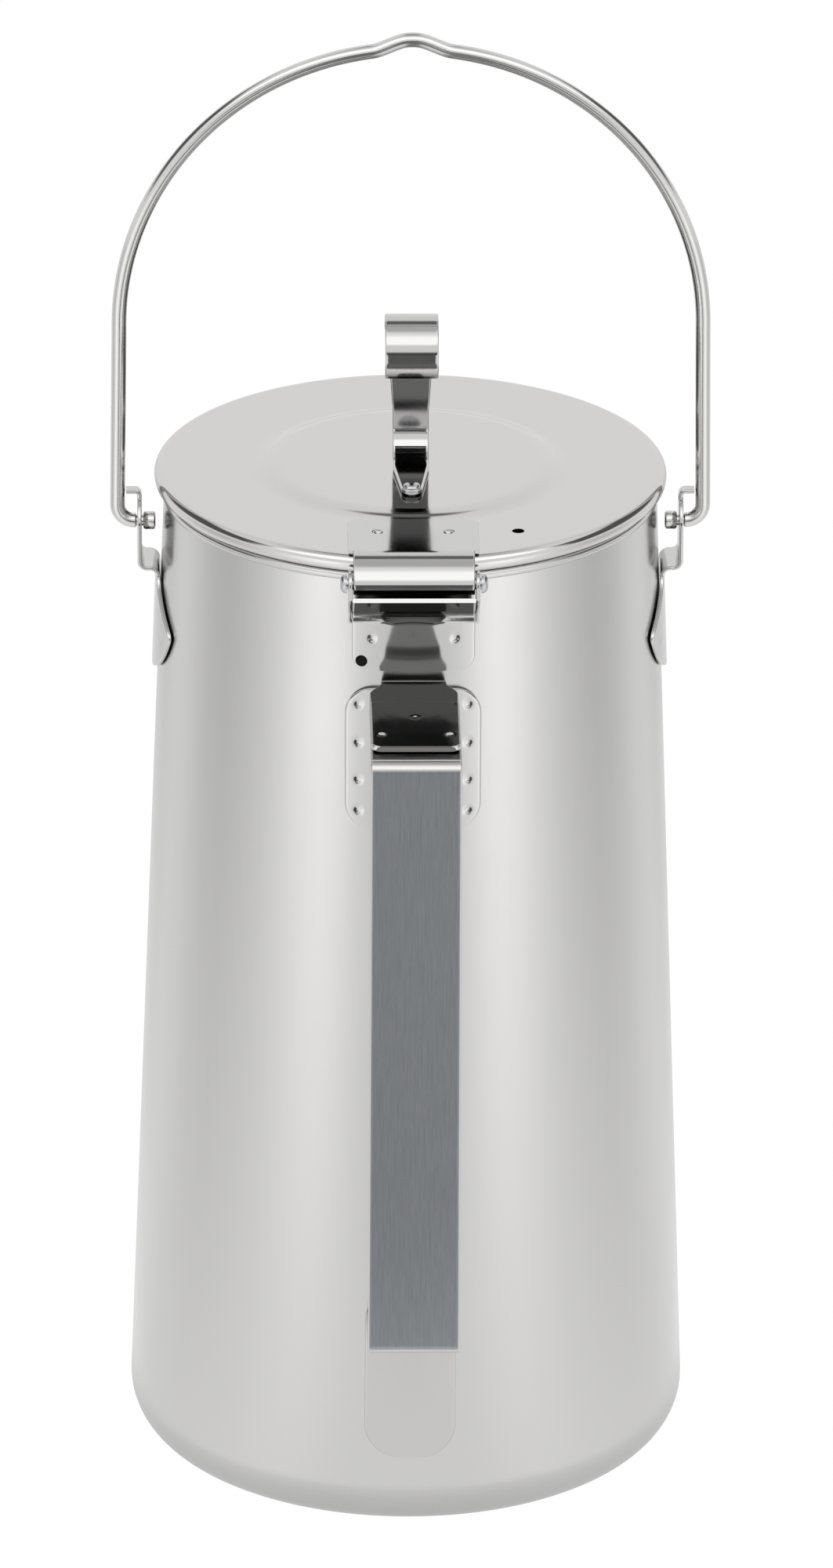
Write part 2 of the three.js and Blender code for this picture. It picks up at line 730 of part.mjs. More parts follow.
group.add(piece('body_shell', bodyShell(), steel(0xc6c8ca, 0.16)));
group.add(piece('spout', spout(), steel(0xc6c8ca, 0.16)));
group.add(piece('hinge_bracket', hingeBracket(), steel(0xbfc0c2, 0.2)));
group.add(piece('handle_bracket', handleBracket(), steel(0xb4b5b7, 0.24)));
group.add(piece('grip_strap', gripStrap(), steel(0x8c8d90, 0.4)));

const pin = piece('hinge_pin', hingePin(), steel(0xb9babc, 0.22));
pin.position.set(0, pinY, pinZ);
group.add(pin);

const lid = new THREE.Group();
lid.add(piece('lid_shell', lidShell(), steel(0xcccdd0, 0.14)));
lid.add(piece('knob_strap', knobStrap(), steel(0xc2c3c5, 0.14)));
lid.add(piece('lid_hinge_leaf', hingeLeaf(), steel(0xbfc0c2, 0.2)));
const rivet = piece('knob_rivet', knobRivet(), steel(0xb4b5b7, 0.25));
rivet.position.set(0, -rivetPlace, discTop);
lid.add(rivet);
group.add(lid);

for (const [name, turn] of [['ear_left', 0], ['ear_right', Math.PI]]) {
  const side = piece(name, ear(), steel(0xc0c1c3, 0.2));
  side.rotation.z = turn;
  group.add(side);
}

const bail = piece('bail', bailWire(), steel(0xc4c5c8, 0.15));
bail.position.set(0, 0, pivotZ);
group.add(bail);

export default group;
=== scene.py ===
"""A tall camp kettle of polished sheet steel: tapered body, hinged lid with a rolled lift, strap handle,
beak spout and a wire bail. Metres, with the handle on -Y, the spout on +Y and the base on the floor."""
import math

import bmesh
import bpy
import numpy as np
from mathutils import Matrix, Vector


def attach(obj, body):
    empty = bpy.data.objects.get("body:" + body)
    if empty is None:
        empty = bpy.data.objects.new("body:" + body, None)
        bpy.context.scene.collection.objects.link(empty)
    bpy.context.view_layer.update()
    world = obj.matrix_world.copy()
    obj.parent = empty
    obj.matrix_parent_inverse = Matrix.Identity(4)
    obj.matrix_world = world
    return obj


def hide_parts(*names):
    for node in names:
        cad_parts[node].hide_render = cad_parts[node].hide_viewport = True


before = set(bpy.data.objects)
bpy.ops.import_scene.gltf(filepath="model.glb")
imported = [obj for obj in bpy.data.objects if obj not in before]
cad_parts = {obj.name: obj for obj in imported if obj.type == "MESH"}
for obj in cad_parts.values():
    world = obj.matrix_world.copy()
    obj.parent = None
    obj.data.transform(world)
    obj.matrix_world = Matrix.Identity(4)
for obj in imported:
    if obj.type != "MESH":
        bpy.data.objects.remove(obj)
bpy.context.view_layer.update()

# Body
BODY_HEIGHT = 0.210
BASE_RADIUS = 0.0578
RIM_RADIUS = 0.0501
BASE_CORNER = 0.0113
BODY_SHEET = 0.0008
RIM_BEAD = 0.001
STRAINER_HOLE = 0.002
STRAINER_PITCH = 0.006
STRAINER_ROWS = 3

# Spout
SPOUT_DROP = 0.009
SPOUT_HEIGHT = 0.053
SPOUT_HALF_WIDTH = 0.013
SPOUT_REACH = 0.024
SPOUT_TIP_SHARE = 0.1
SPOUT_LEAST = 1e-5
SPOUT_ROWS = 60
SPOUT_COLUMNS = 49

# Lid
LID_RADIUS = 0.0521
LID_EDGE = 0.0036
LID_SHEET = 0.0007
LID_BEND = 0.00175
LID_HEM = 0.0032
DISC_RADIUS = 0.031
DISC_RISE = 0.0011
DISC_STEP = 0.003
DISC_BEND = 0.0085
STEAM_HOLE = 0.00125
STEAM_OFFSET = 0.0423
STEAM_ANGLE = math.radians(30)

# Lift and rivet
KNOB_SHEET = 0.001
KNOB_CURL = 0.0065
KNOB_HEIGHT = 0.0335
KNOB_RISER = 0.0003
KNOB_FOOT = 0.0206
KNOB_BEND = 0.0065
KNOB_SWEEP = math.radians(220)
KNOB_CURL_WIDTH = 0.0108
KNOB_TOP_WIDTH = 0.009
KNOB_WAIST_WIDTH = 0.0073
KNOB_TIP = 0.0022
RIVET_PLACE = 0.0184
RIVET_SHANK = 0.0012
RIVET_HEAD = 0.00175
RIVET_DOME = 0.0009

# Lid hinge
PIN_Y = -0.0546
PIN_Z = 0.20975
PIN_RADIUS = 0.0012
PIN_HEAD = 0.00195
PIN_HALF_LENGTH = 0.01475
PIN_HEAD_LENGTH = 0.0013
LEAF_SHEET = 0.0009
LEAF_WIDTH = 0.0263
LEAF_INSET = 0.0022
LEAF_CORNER = 0.002
BARREL_WIDTH = 0.0243
BARREL_MIDDLE = 0.00185
BARREL_SWEEP = math.radians(261)
ROLL_END = math.radians(22.86)
LEAF_WELD_X = 0.007
LEAF_WELD_Y = -0.04

# Hinge bracket
BRACKET_WIDTH = 0.0247
BRACKET_DROP = 0.0203
BRACKET_CORNER = 0.003
CRADLE_RADIUS = 0.0045
CRADLE_DROP = 0.008
LIP_REACH = 0.0037
LIP_DROP = 0.0022
LUG_SHEET = 0.0008
LUG_EYE = 0.0026
DRAIN_HOLE = 0.0012
DRAIN_INSET = 0.0019
DRAIN_DEPTH = 0.008
BRACKET_WELD_X = 0.0083
BRACKET_WELD_Z = 0.1965

# Handle bracket
ARM_SHEET = 0.0012
ARM_Z = 0.1877
ARM_NECK = 0.0134
ARM_WIDTH = 0.0178
ARM_FLARE_START = 0.0025
ARM_FLARE = 0.0055
ARM_BEND = 0.002
ARM_STEP_PLACE = 0.0142
ARM_STEP = 0.002
ARM_END_INSET = 0.0049
ARM_END_CORNER = 0.0015
PLATE_WIDTH = 0.0274
PLATE_HEIGHT = 0.0305
PLATE_SHOULDER = 0.0015
PLATE_CORNER = 0.0055
PLATE_WELD_X = 0.011
PLATE_WELD_ROWS = (0.1824, 0.1742, 0.1663, 0.1597)
ARM_WELDS = ((0, -0.076), (-0.0068, -0.085), (0.0068, -0.085))

# Grip strap
STRAP_SHEET = 0.0012
STRAP_TOP_WIDTH = 0.018
STRAP_FOOT_WIDTH = 0.0186
STRAP_START = 0.016
GRIP_REACH = 0.045
GRIP_LEAN = 0.0024
GRIP_TOP_BEND = 0.0018
GRIP_LOW_BEND = 0.0015
GRIP_LOW_Z = 0.0612
LOWER_ARM_RISE = 0.0112
LOWER_ARM_BEND = 0.0025
FOOT_Z = 0.0183
FOOT_CORNER = 0.007
FOOT_WELDS = ((-0.0055, 0.0385), (0.0055, 0.0385), (0, 0.0249))

# Ears
EAR_SHEET = 0.00085
PIVOT_Z = 0.2017
EAR_STAND_OFF = 0.0047
EAR_EYE = 0.0055
EAR_WEB_DROP = 0.0085
EAR_BEND = 0.0015
EAR_FAN_HEIGHT = 0.022
EAR_FAN_RADIUS = 0.0187
EAR_SHOULDER = 0.0105
EAR_NECK_BEND = 0.0044
EAR_CORNER = 0.002
TAB_WIDTH = 0.0027
TAB_RISE = 0.0066
TAB_BEND = 0.0009
TAB_OVERLAP = 0.0012
EAR_WELD_X = 0.0125

# Bail. The head's tip and edge and the wire's shoulder are rounded by (distance along, share of the radius)
WIRE_RADIUS = 0.0015
WIRE_BEND = 0.0035
WIRE_SHOULDER = 0.0004
ARCH_RISE = 0.0426
LEG_DRAW = 0.0005
HUMP_RISE = 0.0019
HUMP_FLAT = 0.0004
HUMP_END = 0.0082
BAIL_PIN = 0.0011
BAIL_HEAD = 0.00185
BAIL_HEAD_LENGTH = 0.0025
HEAD_TIP = ((0, 0.8), (0.0003, 1))
HEAD_EDGE = ((-0.0004, 1), (-0.0001, 0.9))
SHOULDER_EDGE = ((0.00005, 0.85), (0.0003, 1))
SHOULDER_CLEAR = 0.0004

# Seats, welds and mesh steps
SEAT_GAP = 0.0003
RUN_GAP = 0.0002
WELD_RADIUS = 0.0012
WELD_DEPTH = 0.00026
LEAF_WELD_DEPTH = 0.0008
FOOT_WELD_DEPTH = 0.00004
WELD_FLOOR = 0.15
ROW_STEP = 0.0004
BODY_STEP = 0.002
WIRE_STEP = 0.0006
LEAST_STEP = 0.00002
BEND_STEPS = 16
CORNER_STEPS = 12
EDGE_STEPS = 3
TURN_STEPS = 256
EDGE_SHARE = 0.3
FACE_SHARE = 0.9
OVERRUN = 0.003
MERGE_DISTANCE = 1e-7
SMOOTH_ANGLE = math.radians(40)

# Steels. A noise is (scale, detail, roughness), and a tone is (place in the noise, share of the color)
HAZE_NOISE = (90, 6, 0.6)
HAZE_RANGE = (0.3, 0.7)
WAVE_NOISE = (14, 2, 0.4)
COARSE_LINES = (1, 3, 0.6)
FINE_LINES = (3.1, 4, 0.7)
LINE_TONES = ((0.36, 0.86), (0.64, 1.14))
BRUSHED_FACING = (-0.97, -0.9)
INWARD_FACING = (-0.01, -0.002)
SHEET_LOOK = {"color": (0.66, 0.655, 0.65), "low": 0.07, "high": 0.12, "wave": 0.00002}
# Painted shade in the drain hole: black, roughness, reach and fade of the dark spot on the wall behind it
HOLE_SHADE_COLOR = (0.01, 0.01, 0.01, 1)
HOLE_SHADE_ROUGHNESS = 0.9
HOLE_SHADE_REACH = 1.6 * DRAIN_HOLE
HOLE_SHADE_FADE = 1.1

# Studio: greys by degrees round from the front or above the horizon. A panel is (by turn, by rise, gain)
FLOOR_REACH = 6.0
FLOOR_WHITE = 1.25
EVEN_FLOOR = 0.71
# What the steel mirrors of the floor is painted light: its greys by turn, the painted shade of the kettle
# near by and the painted dark strip in front
FLOOR_BY_TURN = ((0, 0.64), (16, 0.66), (22, 0.74), (28, 0.88), (34, 1.0), (41, 1.02),
                 (49, 0.92), (57, 0.77), (65, 0.67), (73, 0.59), (88, 0.49), (100, 0.52),
                 (116, 0.66), (128, 0.69), (142, 0.56), (180, 0.62))
PATTERN_REACH = (0.02, 0.6)
NEAR_FLOOR_REACH = (0.052, 0.078)
NEAR_FLOOR_SHARE = 0.7
DARK_FLOOR = ((3.5, 1), (5.5, 0))
DARK_FLOOR_REACH = (0.21, 0.25)
DARK_FLOOR_GAIN = -0.88
WORLD_WHITE = 1.5
WORLD_BY_RISE = ((-90, 0.66), (20, 0.73), (58, 0.69), (68, 0.50), (90, 0.46))
FRONT_PANEL = (((60, 1), (80, 0)), ((28, 0), (36, 1), (74, 1), (82, 0)), 0.7)
FRONT_SCREEN = (((16, 1), (24, 0)), ((-40, 1), (4, 1), (9, 0)), -0.93)
BACK_FLAG = (((150, 0), (158, 1)), ((54, 0), (59, 1), (69, 1), (74, 0)), -0.8)
SIDE_FLAGS = (((70, 0), (80, 1), (136, 1), (146, 0)), ((8, 0), (14, 1), (40, 1), (46, 0)), -0.88)

# Camera, where the photograph was taken from
CAMERA_PLACE = (-0.0402, -2.5197, 1.2046)
CAMERA_PITCH = math.radians(22.837)
CAMERA_YAW = math.radians(0.95)
CAMERA_ROLL = math.radians(-0.308)
CAMERA_LENS = 305.72
CAMERA_SENSOR = 36
CAMERA_NEAREST = 0.1
CAMERA_FURTHEST = 50


def wall_radius(z):
    """Outer radius of the wall: a straight taper from the base radius to the rim radius."""
    return BASE_RADIUS + (RIM_RADIUS - BASE_RADIUS) * z / BODY_HEIGHT


LID_BOTTOM = BODY_HEIGHT + SEAT_GAP
LID_TOP = LID_BOTTOM + LID_EDGE
DISC_TOP = LID_TOP + DISC_RISE
DRAIN_X = DRAIN_INSET - BRACKET_WIDTH / 2
DRAIN_Z = BODY_HEIGHT - BRACKET_DROP + DRAIN_INSET
EAR_X = wall_radius(PIVOT_Z) + EAR_STAND_OFF
HEAD_X = EAR_X - EAR_SHEET / 2 - SEAT_GAP
SHOULDER_X = EAR_X + EAR_SHEET / 2 + RUN_GAP
LEG_X = SHOULDER_X + WIRE_SHOULDER + WIRE_BEND


# Lines in a plane

def arc(centre, radius, start, end, steps=24):
    """Points at one radius round a centre, the angle going evenly from start to end."""
    angle = np.linspace(start, end, steps + 1)
    return np.column_stack([centre[0] + radius * np.cos(angle), centre[1] + radius * np.sin(angle)])


def bent_line(corners):
    """Straight runs between corners (a, b, radius), each inner corner replaced by the arc that touches both
    runs."""
    points = [np.array([corners[0][:2]])]
    for before, corner, after in zip(corners, corners[1:], corners[2:]):
        at, radius = np.array(corner[:2]), corner[2]
        back = np.array(before[:2]) - at
        ahead = np.array(after[:2]) - at
        back, ahead = back / np.hypot(*back), ahead / np.hypot(*ahead)
        half = math.acos(np.clip(back @ ahead, -1, 1)) / 2
        middle = at + (back + ahead) / np.hypot(*(back + ahead)) * radius / math.sin(half)
        first = at + back * radius / math.tan(half) - middle
        start = math.atan2(first[1], first[0])
        side = math.copysign(1, ahead[0] * back[1] - ahead[1] * back[0])
        points.append(arc(middle, radius, start, start + side * (math.pi - 2 * half), BEND_STEPS))
    points.append(np.array([corners[-1][:2]]))
    return np.vstack(points)


def distances(line):
    """Distance along a line at each of its points."""
    return np.concatenate([[0], np.cumsum(np.hypot(*np.diff(line, axis=0).T))])


def directions(line):
    """Unit direction at each point of a line: the unit directions of the two runs beside it added and made
    unit again."""
    run = np.diff(line, axis=0)
    run /= np.hypot(*run.T)[:, None]
    both = np.vstack([run[:1], run[:-1] + run[1:], run[-1:]])
    return both / np.hypot(*both.T)[:, None]


def resampled(line, step, round_start=0.0, round_end=0.0):
    """The line's own points and points at even steps between them, with closer rows inside a rounded start
    or end so that its corners come out round."""
    along = distances(line)
    length = along[-1]
    quarter = 1 - np.cos(np.linspace(0, math.pi / 2, CORNER_STEPS))
    even = np.linspace(0, length, max(2, int(length / step)) + 1)
    places = np.concatenate([even, along, round_start * quarter, length - round_end * quarter])
    places = np.unique(np.round(places / LEAST_STEP)) * LEAST_STEP
    places = np.append(places[places < length - LEAST_STEP], length)
    return np.column_stack([np.interp(places, along, line[:, i]) for i in (0, 1)])


def rounded_end(distance, half, radius):
    """Half width at a distance from a strap's end whose two corners are quarter circles."""
    missing = radius - np.clip(distance, 0, radius)
    return half - radius + np.sqrt(np.maximum(radius ** 2 - missing ** 2, 0))


def smooth_step(value, start, end):
    """Goes from 0 at start to 1 at end with level ends."""
    share = np.clip((value - start) / (end - start), 0, 1)
    return share * share * (3 - 2 * share)


# Surfaces as (points, faces)

def ring_faces(rows, columns):
    """Quads between rows of points, each row a closed ring."""
    row = np.arange(rows - 1)[:, None] * columns
    column = np.arange(columns)[None, :]
    after = (column + 1) % columns
    below = row + columns
    faces = np.stack([row + column, row + after, below + after, below + column], axis=-1)
    return faces.reshape(-1, 4).tolist()


def end_faces(rows, columns):
    """The two faces that close the first and the last ring."""
    return [list(range(columns))[::-1], list(range((rows - 1) * columns, rows * columns))]


def revolved(profile, steps=TURN_STEPS):
    """A profile of (radius, height) turned about Z: x is radius times cosine, y radius times sine."""
    turn = np.linspace(0, 2 * math.pi, steps, endpoint=False)
    x = profile[:, :1] * np.cos(turn)
    y = profile[:, :1] * np.sin(turn)
    z = np.broadcast_to(profile[:, 1:], x.shape)
    points = np.stack([x, y, z], axis=-1).reshape(-1, 3)
    return points, ring_faces(len(profile), steps)


def sheet_profile(line, thickness):
    """Outline of a sheet that follows a line from the axis: half the thickness to each side, with a round
    free end."""
    along = directions(line)
    across = np.column_stack([along[:, 1], -along[:, 0]]) * thickness / 2
    heading = math.atan2(along[-1, 1], along[-1, 0])
    end = arc(line[-1], thickness / 2, heading - math.pi / 2, heading + math.pi / 2, steps=8)
    profile = np.vstack([line + across, end[1:-1], (line - across)[::-1]])
    profile[[0, -1], 0] = 0
    return profile


def strap_section(columns):
    """Rounded oblong in shares: (centre x, centre n, unit x, unit n) for points on the outer face, the
    right edge, the inner face and the left edge, where x goes across the strap and n along its normal."""
    flat = np.linspace(-1, 1, columns)
    quarter = np.linspace(0, math.pi / 2, EDGE_STEPS + 1)
    outer = np.column_stack([flat, np.ones(columns), np.zeros(columns), np.ones(columns)])
    right_top = [(1, 1, math.sin(a), math.cos(a)) for a in quarter[1:]]
    right_low = [(1, -1, math.cos(a), -math.sin(a)) for a in quarter]
    inner = outer[-2:0:-1] * (1, -1, 1, -1)
    left_low = [(-1, -1, -math.sin(a), -math.cos(a)) for a in quarter]
    left_top = [(-1, 1, -math.cos(a), math.sin(a)) for a in quarter[:-1]]
    return np.vstack([outer, right_top, right_low, inner, left_low, left_top])


def strap(line, half_width, thickness, columns=24, wrap=0.0, dents=()):
    """A sheet strap whose middle line lies in the YZ plane. Each row is the rounded oblong section set
    across the line; where wrap is 1 it bends round the kettle's axis by radius minus the root of radius
    squared less x squared. Each dent (x, y, z, side, depth) sinks the face on its side of the line by a
    smooth bowl."""
    section = strap_section(columns)
    edge = thickness * EDGE_SHARE
    half_width = np.broadcast_to(half_width, len(line))[:, None]
    wrap = np.broadcast_to(wrap, len(line))[:, None]
    along = directions(line)
    x = section[:, 0] * np.maximum(half_width - edge, 0) + section[:, 2] * edge
    lift = np.broadcast_to(section[:, 1] * (thickness / 2 - edge) + section[:, 3] * edge, x.shape).copy()
    radius = np.maximum(np.abs(line[:, :1]), 2 * np.abs(x).max())
    bow = wrap * (radius - np.sqrt(radius ** 2 - x ** 2))
    for at_x, at_y, at_z, side, depth in dents:
        away = np.sqrt((x - at_x) ** 2 + (line[:, :1] + bow - at_y) ** 2 + (line[:, 1:] - at_z) ** 2)
        facing = section[:, 3] * side > FACE_SHARE
        lift -= side * facing * depth * (1 - smooth_step(away, WELD_RADIUS * WELD_FLOOR, WELD_RADIUS))
    y = line[:, :1] - along[:, 1:] * lift + bow
    z = line[:, 1:] + along[:, :1] * lift
    points = np.stack([x, y, z], axis=-1).reshape(-1, 3)
    return points, ring_faces(*x.shape) + end_faces(*x.shape)


def swept_round(line, radius, sides=20):
    """A round section of changing radius along a line in the XZ plane: the centre plus radius times cosine
    across the line and sine along Y."""
    along = directions(line)
    turn = np.linspace(0, 2 * math.pi, sides, endpoint=False)
    radius = np.broadcast_to(radius, len(line))[:, None]
    x = line[:, :1] - along[:, 1:] * radius * np.cos(turn)
    z = line[:, 1:] + along[:, :1] * radius * np.cos(turn)
    y = radius * np.sin(turn)
    points = np.stack([x, y, z], axis=-1).reshape(-1, 3)
    return points, ring_faces(len(line), sides) + end_faces(len(line), sides)


def cut_plate(outline, x, thickness):
    """A flat plate across X from an outline in Y and Z: rings that draw in by a share of the way to the
    middle as they reach each face, so that the cut edge is soft."""
    middle = outline.mean(axis=0)
    reach = np.hypot(*(outline - middle).T).mean()
    edge = thickness * EDGE_SHARE
    lean = np.linspace(0, math.pi / 2, EDGE_STEPS + 1)
    outward = thickness / 2 - edge + edge * np.sin(lean)
    side = np.concatenate([-outward[::-1], outward])
    drawn_in = edge * (1 - np.cos(lean))
    shrink = 1 - np.concatenate([drawn_in[::-1], drawn_in]) / reach
    yz = middle + (outline - middle)[None] * shrink[:, None, None]
    points = np.concatenate([np.broadcast_to((x + side)[:, None, None], yz.shape[:2] + (1,)), yz], axis=-1)
    rows, ring = yz.shape[:2]
    return points.reshape(-1, 3), ring_faces(rows, ring) + end_faces(rows, ring)


def turned(surface, quarter_turns):
    """The surface turned about Z by whole quarter turns."""
    points, faces = surface
    angle = quarter_turns * math.pi / 2
    cosine, sine = math.cos(angle), math.sin(angle)
    rotation = np.array([[cosine, -sine, 0], [sine, cosine, 0], [0, 0, 1]])
    return points @ rotation.T, faces


def rod_surface(radius, start, end, sides=32):
    """A straight rod between two points."""
    start, end = Vector(start), Vector(end)
    along = end - start
    turn = along.to_track_quat("Z", "Y").to_matrix()
    profile = np.array([[0, 0], [radius, 0], [radius, along.length], [0, along.length]])
    points, faces = revolved(profile, sides)
    return points @ np.array(turn).T + np.array(start), faces


# Objects

def closed_mesh(name, points, faces):
    """A mesh whose meeting points are merged and whose faces all look outwards."""
    mesh = bpy.data.meshes.new(name)
    mesh.from_pydata(points.tolist(), [], faces)
    tidy = bmesh.new()
    tidy.from_mesh(mesh)
    bmesh.ops.remove_doubles(tidy, verts=tidy.verts, dist=MERGE_DISTANCE)
    bmesh.ops.recalc_face_normals(tidy, faces=tidy.faces)
    tidy.to_mesh(mesh)
    tidy.free()
    return mesh


def placed(name, data):
    """A new object in the scene, at the origin."""
    thing = bpy.data.objects.new(name, data)
    bpy.context.collection.objects.link(thing)
    return thing


def make_piece(name, surfaces, material, body, node):
    """One object from one or more closed surfaces, smooth but for its sharp edges. It rides on its body and
    stands for its CAD node."""
    offsets = np.cumsum([0] + [len(points) for points, _ in surfaces])
    points = np.vstack([points for points, _ in surfaces])
    faces = [[i + offset for i in face] for offset, (_, part) in zip(offsets, surfaces) for face in part]
    mesh = closed_mesh(name, points, faces)
    mesh.polygons.foreach_set("use_smooth", np.ones(len(mesh.polygons), dtype=bool))
    mesh.set_sharp_from_angle(angle=SMOOTH_ANGLE)
    mesh.materials.append(material)
    piece = placed(name, mesh)
    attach(piece, body)
    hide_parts(node)
    return piece


def drill(piece, rods):
    """Takes rods out of a piece with an exact Boolean, applied at once."""
    for points, faces in rods:
        cutter = placed("rod", closed_mesh("rod", points, faces))
        cut = piece.modifiers.new("hole", "BOOLEAN")
        cut.operation = "DIFFERENCE"
        cut.solver = "EXACT"
        cut.object = cutter
        result = bpy.data.meshes.new_from_object(piece.evaluated_get(bpy.context.evaluated_depsgraph_get()))
        piece.modifiers.clear()
        piece.data = result
        bpy.data.objects.remove(cutter)
    piece.data.set_sharp_from_angle(angle=SMOOTH_ANGLE)


# Nodes and the polish group, which all steels share

def feed(tree, node, given):
    """Gives a plain value or another node's socket to each input named or numbered, and returns the
    outputs."""
    for label, value in given.items():
        if isinstance(value, bpy.types.NodeSocket):
            tree.links.new(value, node.inputs[label])
        else:
            node.inputs[label].default_value = value
    return node.outputs


def math_node(tree, operation, *given):
    """Result of a calculation with numbers."""
    node = tree.nodes.new("ShaderNodeMath")
    node.operation = operation
    return feed(tree, node, dict(enumerate(given)))["Value"]


def vector_node(tree, operation, *given):
    """Outputs of a calculation with vectors."""
    node = tree.nodes.new("ShaderNodeVectorMath")
    node.operation = operation
    return feed(tree, node, dict(enumerate(given)))


def parts_of(tree, vector):
    """X, Y and Z of a vector."""
    return feed(tree, tree.nodes.new("ShaderNodeSeparateXYZ"), {"Vector": vector})


def mapped(tree, value, low, high, new_low, new_high):
    """A value taken in proportion from the range low to high to the new range, and held inside it."""
    node = tree.nodes.new("ShaderNodeMapRange")
    given = {"Value": value, "From Min": low, "From Max": high, "To Min": new_low, "To Max": new_high}
    return feed(tree, node, given)["Result"]


def noise_at(tree, place, scale, detail, roughness):
    """Noise from 0 to 1 at a place."""
    node = tree.nodes.new("ShaderNodeTexNoise")
    given = {"Vector": place, "Scale": scale, "Detail": detail, "Roughness": roughness}
    return feed(tree, node, given)["Fac"]


def blended(tree, mask, kind, first, second):
    """Goes from first to second as the mask goes from 0 to 1. The kind of value sets which inputs and which
    output of the mix node are in use."""
    mix = tree.nodes.new("ShaderNodeMix")
    mix.data_type = kind
    one, other, result = (6, 7, 2) if kind == "RGBA" else (2, 3, 0)
    return feed(tree, mix, {"Factor": mask, one: first, other: second})[result]


def polish_group():
    """Hand polish: broad soft waves for the height, and fine haze for the roughness, which goes from low to
    high."""
    group = bpy.data.node_groups.new("polish", "ShaderNodeTree")
    group.interface.new_socket("Vector", in_out="INPUT", socket_type="NodeSocketVector")
    for label, side in (("Low", "INPUT"), ("High", "INPUT"), ("Roughness", "OUTPUT"), ("Height", "OUTPUT")):
        group.interface.new_socket(label, in_out=side, socket_type="NodeSocketFloat")
    given = group.nodes.new("NodeGroupInput").outputs
    haze = mapped(group, noise_at(group, given["Vector"], *HAZE_NOISE), *HAZE_RANGE, 0, 1)
    roughness = blended(group, haze, "FLOAT", given["Low"], given["High"])
    wave = noise_at(group, given["Vector"], *WAVE_NOISE)
    feed(group, group.nodes.new("NodeGroupOutput"), {"Roughness": roughness, "Height": wave})
    return group


POLISH = polish_group()


# Steels

def steel(name, color, low, high, wave, mirrored):
    """A polished steel: the polish group gives its roughness between low and high, and waves of the given
    height. Where other steel mirrors it, its color is multiplied by the mirrored share: painted shade that
    stands in for the light each mirroring takes away."""
    material = bpy.data.materials.new(name)
    material.use_nodes = True
    tree = material.node_tree
    place = tree.nodes.new("ShaderNodeTexCoord").outputs["Object"]
    polish = tree.nodes.new("ShaderNodeGroup")
    polish.node_tree = POLISH
    polished = feed(tree, polish, {"Vector": place, "Low": low, "High": high})
    waves = feed(tree, tree.nodes.new("ShaderNodeBump"), {"Distance": wave, "Height": polished["Height"]})
    # Painted shade: glossy rays see the color darkened by the mirrored share
    glossy = tree.nodes.new("ShaderNodeLightPath").outputs["Is Glossy Ray"]
    painted_reflection_shade = (*(mirrored * part for part in color), 1)
    feed(tree, tree.nodes["Principled BSDF"], {
        "Metallic": 1,
        "Base Color": blended(tree, glossy, "RGBA", (*color, 1), painted_reflection_shade),
        "Roughness": polished["Roughness"],
        "Normal": waves["Normal"],
    })
    return material


def overlay(material, label, kind, mask, second):
    """Takes an input of the material's shader from what feeds it now to a second value as the mask goes
    from 0 to 1."""
    tree = material.node_tree
    shader = tree.nodes["Principled BSDF"]
    socket = shader.inputs[label]
    first = socket.links[0].from_socket if socket.is_linked else socket.default_value
    feed(tree, shader, {label: blended(tree, mask, kind, first, second)})


def brush_front(material, level, color, roughness, stretch, depth):
    """Brushes the front above a height: darker, rougher and with fine upright lines, the mean of two
    stretched noises. Bends and edges stay polished, because the brushed share falls from 1 to 0 as the face
    turns away from the front."""
    tree = material.node_tree
    place = tree.nodes.new("ShaderNodeTexCoord").outputs
    above = mapped(tree, parts_of(tree, place["Object"])["Z"], level - STRAP_SHEET, level, 0, 1)
    front = mapped(tree, parts_of(tree, place["Normal"])["Y"], *BRUSHED_FACING, 1, 0)
    mask = math_node(tree, "MULTIPLY", above, front)
    mapping = tree.nodes.new("ShaderNodeMapping")
    stretched = feed(tree, mapping, {"Vector": place["Object"], "Scale": stretch})["Vector"]
    coarse = noise_at(tree, stretched, *COARSE_LINES)
    fine = noise_at(tree, stretched, *FINE_LINES)
    lines = blended(tree, 0.5, "FLOAT", coarse, fine)
    tone = tree.nodes.new("ShaderNodeValToRGB")
    for element, (position, share) in zip(tone.color_ramp.elements, LINE_TONES):
        element.position = position
        element.color = (*(share * part for part in color), 1)
    overlay(material, "Base Color", "RGBA", mask, feed(tree, tone, {"Fac": lines})["Color"])
    overlay(material, "Roughness", "FLOAT", mask, roughness)
    shader = tree.nodes["Principled BSDF"]
    waves = shader.inputs["Normal"].links[0].from_socket
    given = {"Distance": depth, "Height": lines, "Strength": mask, "Normal": waves}
    scratches = feed(tree, tree.nodes.new("ShaderNodeBump"), given)["Normal"]
    feed(tree, shader, {"Normal": scratches})


def satin_inside(material, metallic, roughness):
    """Makes the faces that look at the kettle's axis satin: there the product of position and normal, both
    taken across the axis, is negative."""
    tree = material.node_tree
    place = tree.nodes.new("ShaderNodeTexCoord").outputs
    across = vector_node(tree, "MULTIPLY", place["Object"], (1, 1, 0))["Vector"]
    facing = vector_node(tree, "DOT_PRODUCT", across, place["Normal"])["Value"]
    inward = mapped(tree, facing, *INWARD_FACING, 1, 0)
    overlay(material, "Metallic", "FLOAT", inward, metallic)
    overlay(material, "Roughness", "FLOAT", inward, roughness)


